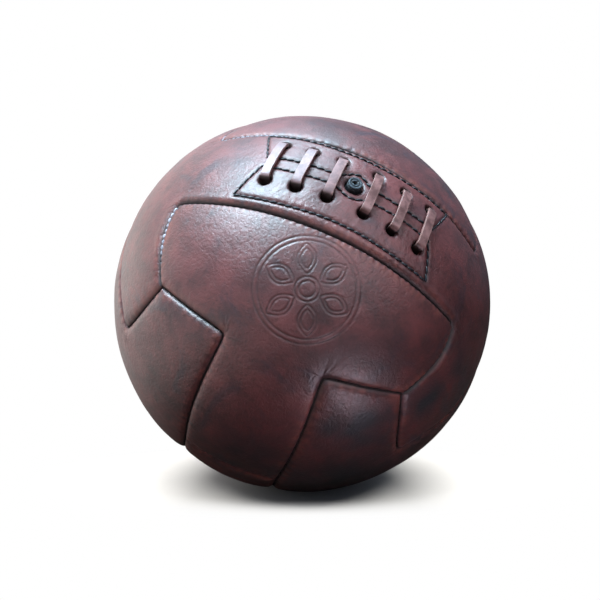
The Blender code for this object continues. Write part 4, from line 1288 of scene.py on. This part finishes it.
def build_lace():
    x, y, z = corner_cut(lace_stations(), 3).T
    path = on_strip(x, y) * (RADIUS + z)[:, None]
    way = unit(np.gradient(path, axis=0))
    # the band's width stays close to the line of the strip
    along = coords(np.cos(x / RADIUS), 0.0, -np.sin(x / RADIUS))
    along = unit(along - way * (along * way).sum(-1, keepdims=True) * 0.85)
    up = unit(np.cross(along, way))
    run = run_along(path)
    width_noise = 0.05 * noise_a.line(run / 6.0, 1.1) + 0.02 * noise_a.line(run / 1.6, 5.1)
    wide = LACE_HALF_WIDTH * (1 + width_noise)
    thick = LACE_HALF_THICKNESS * (1 + 0.06 * noise_b.line(run / 7.0, 2.1))
    wander = 0.16 * noise_c.line(run / 9.0, 8.1)
    across, through, cut = LACE_SECTION.T
    rings = (
        path[:, None, :]
        + along[:, None, :] * (wide[:, None] * across + wander[:, None])[..., None]
        + up[:, None, :] * (thick[:, None] * through)[..., None]
    )
    points, quads, tris = capped(rings, path)
    # painted shade down in the holes and at the ends of the strands, and a painted sheen on the strands
    # left of the valve
    deep = smooth((RADIUS + 1.7 - np.linalg.norm(points, axis=1)) / 1.1)
    x, y = strip_place(unit(points))
    low_end_shade = smooth((HOLE_ROWS_Y[0] + 0.9 - y) / 1.0) * np.where(x < VALVE_X, 0.95, 0.45)
    high_end_shade = 0.8 * smooth((y - HOLE_ROWS_Y[1] + 0.7) / 0.9)
    marks = {
        "cut": np.concatenate([np.tile(cut, len(path)), [1, 1]]),
        "deep": np.maximum(deep, np.maximum(low_end_shade, high_end_shade)),
        "painted_sheen": smooth((VALVE_X - 2.0 - x) / 16.0),
    }
    obj = make_object("lace_band", to_row(points), [quads, tris], lace_leather, marks, sharp=30)
    piece(obj, "lace")


build_lace()

# ---- Valve ---------------------------------------------------------------------------------------
valve_out = on_strip(VALVE_X, VALVE_Y)
valve_turn = np.array(Vector(valve_out).to_track_quat("Z", "Y").to_matrix())
BLADDER_DENT = 100.1  # radius of the bladder's surface under the valve
FLANGE_TOP = BLADDER_DENT - 0.9 - 0.9 - RADIUS
FLANGE_FOOT = FLANGE_TOP - 1.2
CORE_FOOT = 1.5
CORE_TOP = CORE_FOOT + 1.2

# Closed profiles: radius, height over the ball's radius, corner radius
HOUSING_PROFILE = [
    (1.8, 1.2, 0.2), (3.45, 1.2, 0.5), (3.65, 0.4, 0.3), (3.7, -1.2, 0.5),
    (4.5, -2.4, 0.3), (4.5, -3.4, 0.3), (3.7, -3.8, 0.3), (3.7, FLANGE_TOP, 0.3),
    (9.0, FLANGE_TOP, 0.3), (9.0, FLANGE_FOOT, 0.3), (1.8, FLANGE_FOOT, 0.2),
]
CORE_PROFILE = [
    (0.4, CORE_TOP - 1.0, 0.1), (0.95, CORE_TOP - 0.35, 0.12), (1.2, CORE_TOP - 0.02, 0.1),
    (1.85, CORE_TOP + 0.02, 0.1), (1.98, CORE_TOP - 0.26, 0.08), (2.42, CORE_TOP - 0.26, 0.08),
    (2.56, CORE_TOP, 0.1), (3.5, CORE_TOP, 0.42), (3.5, CORE_FOOT, 0.2),
    (1.5, CORE_FOOT, 0.2), (1.5, CORE_FOOT - 12.0, 0.1), (1.0, CORE_FOOT - 12.5, 0.1),
    (0.4, CORE_FOOT - 12.5, 0.05),
]
CORE_DENTS = [(0.75, 1.1, 0.55, 0.30), (0.3, -1.45, 0.50, 0.28)]  # x, y, radius, depth


def rounded_profile(profile, steps=4):
    """A closed profile with its corners rounded."""
    corners = np.array(profile)[:, :2]
    out = []
    for i, corner in enumerate(corners):
        reach = profile[i][2]
        start, end = (
            corner + unit(other - corner) * min(reach, 0.45 * np.linalg.norm(other - corner))
            for other in (corners[i - 1], corners[(i + 1) % len(corners)])
        )
        for k in range(steps + 1):
            t = k / steps
            out.append((1 - t) ** 2 * start + 2 * t * (1 - t) * corner + t**2 * end)
    return np.array(out)


def fine_top(profile):
    """The core's profile with points added along its top, so that the dents can show."""
    out = []
    for here, after in zip(profile, np.roll(profile, -1, axis=0)):
        out.append(here)
        gap = np.linalg.norm(after - here)
        if here[1] > CORE_TOP - 0.2 and after[1] > CORE_TOP - 0.2 and gap > 0.25:
            steps = int(gap / 0.12)
            out += [here + (after - here) * k / steps for k in range(1, steps)]
    return np.array(out)


def turned(name, profile, material, segments, dents=(), hollow_shade=0.0):
    """A profile turned about the valve's axis, with dents pressed into its top and painted shade given
    for its hollows.
    """
    radius, z = profile.T[:, :, None]
    angles = 2 * math.pi * np.arange(segments) / segments
    local = coords(radius * np.cos(angles), radius * np.sin(angles), z).reshape(-1, 3)
    marks = np.repeat(np.broadcast_to(hollow_shade, len(profile)), segments)
    for x, y, dent_radius, depth in dents:
        far = np.hypot(local[:, 0] - x, local[:, 1] - y)
        pit = np.exp(-((far / dent_radius) ** 4)) * (local[:, 2] > z.max() - 0.35)
        local[:, 2] -= depth * pit
        marks = np.maximum(marks, pit)
    points = to_row(local @ valve_turn.T + valve_out * RADIUS)
    quads = ring_quads(len(profile), segments, closed=True)[:, ::-1]
    return make_object(name, points, [quads], material, {"hollow_shade": marks}, sharp=40)


obj = turned("valve_housing_turned", rounded_profile(HOUSING_PROFILE), valve_rubber, segments=48)
piece(obj, "valve_housing")

core = fine_top(rounded_profile(CORE_PROFILE, steps=5))
radius, z = core.T
# painted shade down the bore, in the ring groove and in the dents
bore = (radius < 1.25) & (z > 0)
groove = (np.abs(radius - 2.2) < 0.27) & (z < CORE_TOP - 0.1) & (z > CORE_FOOT)
hollow_shade = np.maximum(bore.astype(float), 0.85 * groove)
obj = turned("valve_core_turned", core, core_rubber, 72, dents=CORE_DENTS, hollow_shade=hollow_shade)
piece(obj, "valve_core", "valve_plug")

# ---- Finishes of the parts that keep their solid shape -------------------------------------------
for name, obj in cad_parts.items():
    if name.endswith("_lining"):
        look = lining_cotton
    elif name == "bladder":
        look = bladder_rubber
    elif name in ("lacing_tongue", "upper_lip_patch", "lower_lip_patch"):
        look = inner_leather
    else:
        continue
    obj.data.materials.clear()
    obj.data.materials.append(look)

# ---- Floor ---------------------------------------------------------------------------------------
scene = bpy.context.scene
scene.view_settings.view_transform = "Standard"
scene.view_settings.look = "None"
WHITE = (1, 1, 1)


def floor_look():
    """A pale floor that fades to white for the camera; other rays see its own dim and bright
    parts, which light the ball from below. Places are in metres."""
    material, graph = new_material("pale_floor")
    graph.tree.nodes.clear()
    place = graph.place()
    away = graph.vector("LENGTH", graph.vector("MULTIPLY", place, (1.0, 2.8, 0.0)))
    lit = graph.diffuse((0.61, 0.598, 0.568))
    seen = graph.blend(graph.ramp(away, 0.10, 0.172), lit, graph.emission(WHITE, strength=1.0))
    # bounced light grows towards the left
    sideways = graph.node("ShaderNodeSeparateXYZ", {0: place}).outputs[0]
    dim = graph.diffuse((0.020, 0.019, 0.018))
    bounce = graph.emission((1.0, 0.96, 0.93), strength=0.92)
    unseen = graph.blend(graph.ramp(sideways, -0.08, -0.32), dim, bounce)
    # a small bright patch in front of the ball, to the right
    patch_distance = graph.vector("DISTANCE", place, (0.070, -0.188, -0.11))
    glow = graph.emission((0.96, 0.82, 0.98), strength=9.0)
    unseen = graph.blend(graph.ramp(patch_distance, 0.044, 0.014), unseen, glow)
    camera_ray = graph.node("ShaderNodeLightPath").outputs["Is Camera Ray"]
    shown = graph.blend(camera_ray, unseen, seen)
    graph.node("ShaderNodeOutputMaterial", {0: shown})
    return material


FLOOR_RADIUS, FLOOR_SIDES = 6000, 64
angles = np.linspace(0, 2 * math.pi, FLOOR_SIDES + 1)[:-1]
points = coords(FLOOR_RADIUS * np.cos(angles), FLOOR_RADIUS * np.sin(angles), FLOOR_Z)
floor = make_object("floor", points, [np.arange(FLOOR_SIDES)[None, :]], floor_look(), sharp=None)
floor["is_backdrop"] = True

# ---- World ---------------------------------------------------------------------------------------
# Soft glows of the studio: direction, cosines where the glow starts and is full, strength
GLOWS = {
    "overhead": ((-0.25, 0.10, 0.95), 0.05, 0.98, 0.42),
    "left_rear": ((-0.80, 0.60, 0.04), 0.35, 0.95, 1.05),
    "front": ((0.35, -0.90, 0.25), 0.55, 0.98, 0.16),
    "right_rear": ((0.75, 0.62, 0.22), 0.72, 0.98, 0.15),
}


def build_world():
    """A studio that lights the ball; the camera itself sees plain white."""
    world = bpy.data.worlds.new("studio")
    scene.world = world
    world.use_nodes = True
    graph = Graph(world.node_tree)
    graph.tree.nodes.clear()
    direction = graph.node("ShaderNodeTexCoord").outputs["Generated"]

    def facing(towards, low, high):
        return graph.ramp(graph.vector("DOT_PRODUCT", direction, tuple(unit(towards))), low, high)

    strength = 0.022
    masks = {}
    for name, (towards, low, high, amount) in GLOWS.items():
        masks[name] = facing(towards, low, high)
        strength = graph.plus(strength, graph.times(masks[name], amount))
    # all of it dims below the horizon
    above = facing((0.0, 0.0, 1.0), -0.08, 0.06)
    strength = graph.times(strength, graph.plus(0.10, graph.times(above, 0.90)))
    tint = graph.mix(masks["left_rear"], (0.78, 0.90, 1.16), (1.0, 0.97, 0.93))
    kind = "ShaderNodeBackground"
    studio = graph.node(kind, {"Color": tint, "Strength": strength}).outputs[0]
    white = graph.node(kind, {"Color": (*WHITE, 1), "Strength": 1.0}).outputs[0]
    camera_ray = graph.node("ShaderNodeLightPath").outputs["Is Camera Ray"]
    graph.node("ShaderNodeOutputWorld", {0: graph.blend(camera_ray, studio, white)})


build_world()

# ---- Lights --------------------------------------------------------------------------------------
# Name, direction from the ball, distance (m), width and height (m), power (W), colour
BALL_LIGHTS = [
    ("softbox", (-0.26, 0.10, 0.94), 0.95, (0.80, 0.60), 1.8, (0.74, 0.90, 1.15)),
    ("key", (-0.33, -0.31, 0.89), 0.80, (0.36, 0.34), 11.5, (0.70, 0.98, 1.13)),
    ("top_window", (0.02, 0.00, 1.0), 0.90, (0.46, 0.40), 5.9, (0.74, 0.95, 1.12)),
    ("fill", (0.46, -0.72, 0.52), 1.2, (1.0, 0.9), 4.4, (0.92, 0.93, 0.98)),
    ("rim", (-0.93, 0.34, -0.02), 1.1, (0.9, 0.8), 2.3, (1.0, 0.96, 0.91)),
]
FLOOR_LIGHTS = [
    ("floor_wash", (0.0, 0.72 * side, 0.69), 1.3, (1.30, 0.24), 36.0, (1.0, 0.995, 0.985))
    for side in SIDES
]


def area_light(receivers, name, towards, distance, size, power, colour):
    """A rectangular light aimed at the ball's middle, falling on the receivers only."""
    data = bpy.data.lights.new(name, "AREA")
    data.shape = "RECTANGLE"
    data.size, data.size_y = size
    data.energy = power
    data.color = colour
    light = bpy.data.objects.new(name, data)
    scene.collection.objects.link(light)
    towards = Vector(towards).normalized()
    light.location = towards * distance
    light.rotation_euler = towards.to_track_quat("Z", "Y").to_euler()
    light.light_linking.receiver_collection = receivers


not_floor = bpy.data.collections.new("not_floor")
not_floor.objects.link(floor)
not_floor.collection_objects[0].light_linking.link_state = "EXCLUDE"
only_floor = bpy.data.collections.new("only_floor")
only_floor.objects.link(floor)
for receivers, lights in ((not_floor, BALL_LIGHTS), (only_floor, FLOOR_LIGHTS)):
    for light in lights:
        area_light(receivers, *light)

# ---- Camera, in front of the ball and a little above its middle ----------------------------------
CAMERA_BACK_M, CAMERA_HEIGHT_M = 0.3945, 0.0415
camera_data = bpy.data.cameras.new("camera")
camera = bpy.data.objects.new("camera", camera_data)
scene.collection.objects.link(camera)
camera.location = (0.0, -CAMERA_BACK_M, CAMERA_HEIGHT_M)
view = Vector((0.0, CAMERA_BACK_M, -CAMERA_HEIGHT_M))
camera.rotation_euler = view.to_track_quat("-Z", "Y").to_euler()
camera_data.lens = 38.87
camera_data.sensor_width = 36.0
camera_data.shift_x = -0.0033333333
camera_data.shift_y = 0.0058333333
camera_data.clip_start = 0.01
scene.camera = camera

bounds_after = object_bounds()


def plain(value):
    """Bounds as plain dictionaries, lists and numbers."""
    if isinstance(value, dict):
        return {key: plain(item) for key, item in value.items()}
    if hasattr(value, "__len__"):
        return [plain(item) for item in value]
    return float(value)


{"before": plain(bounds_before), "after": plain(bounds_after)}
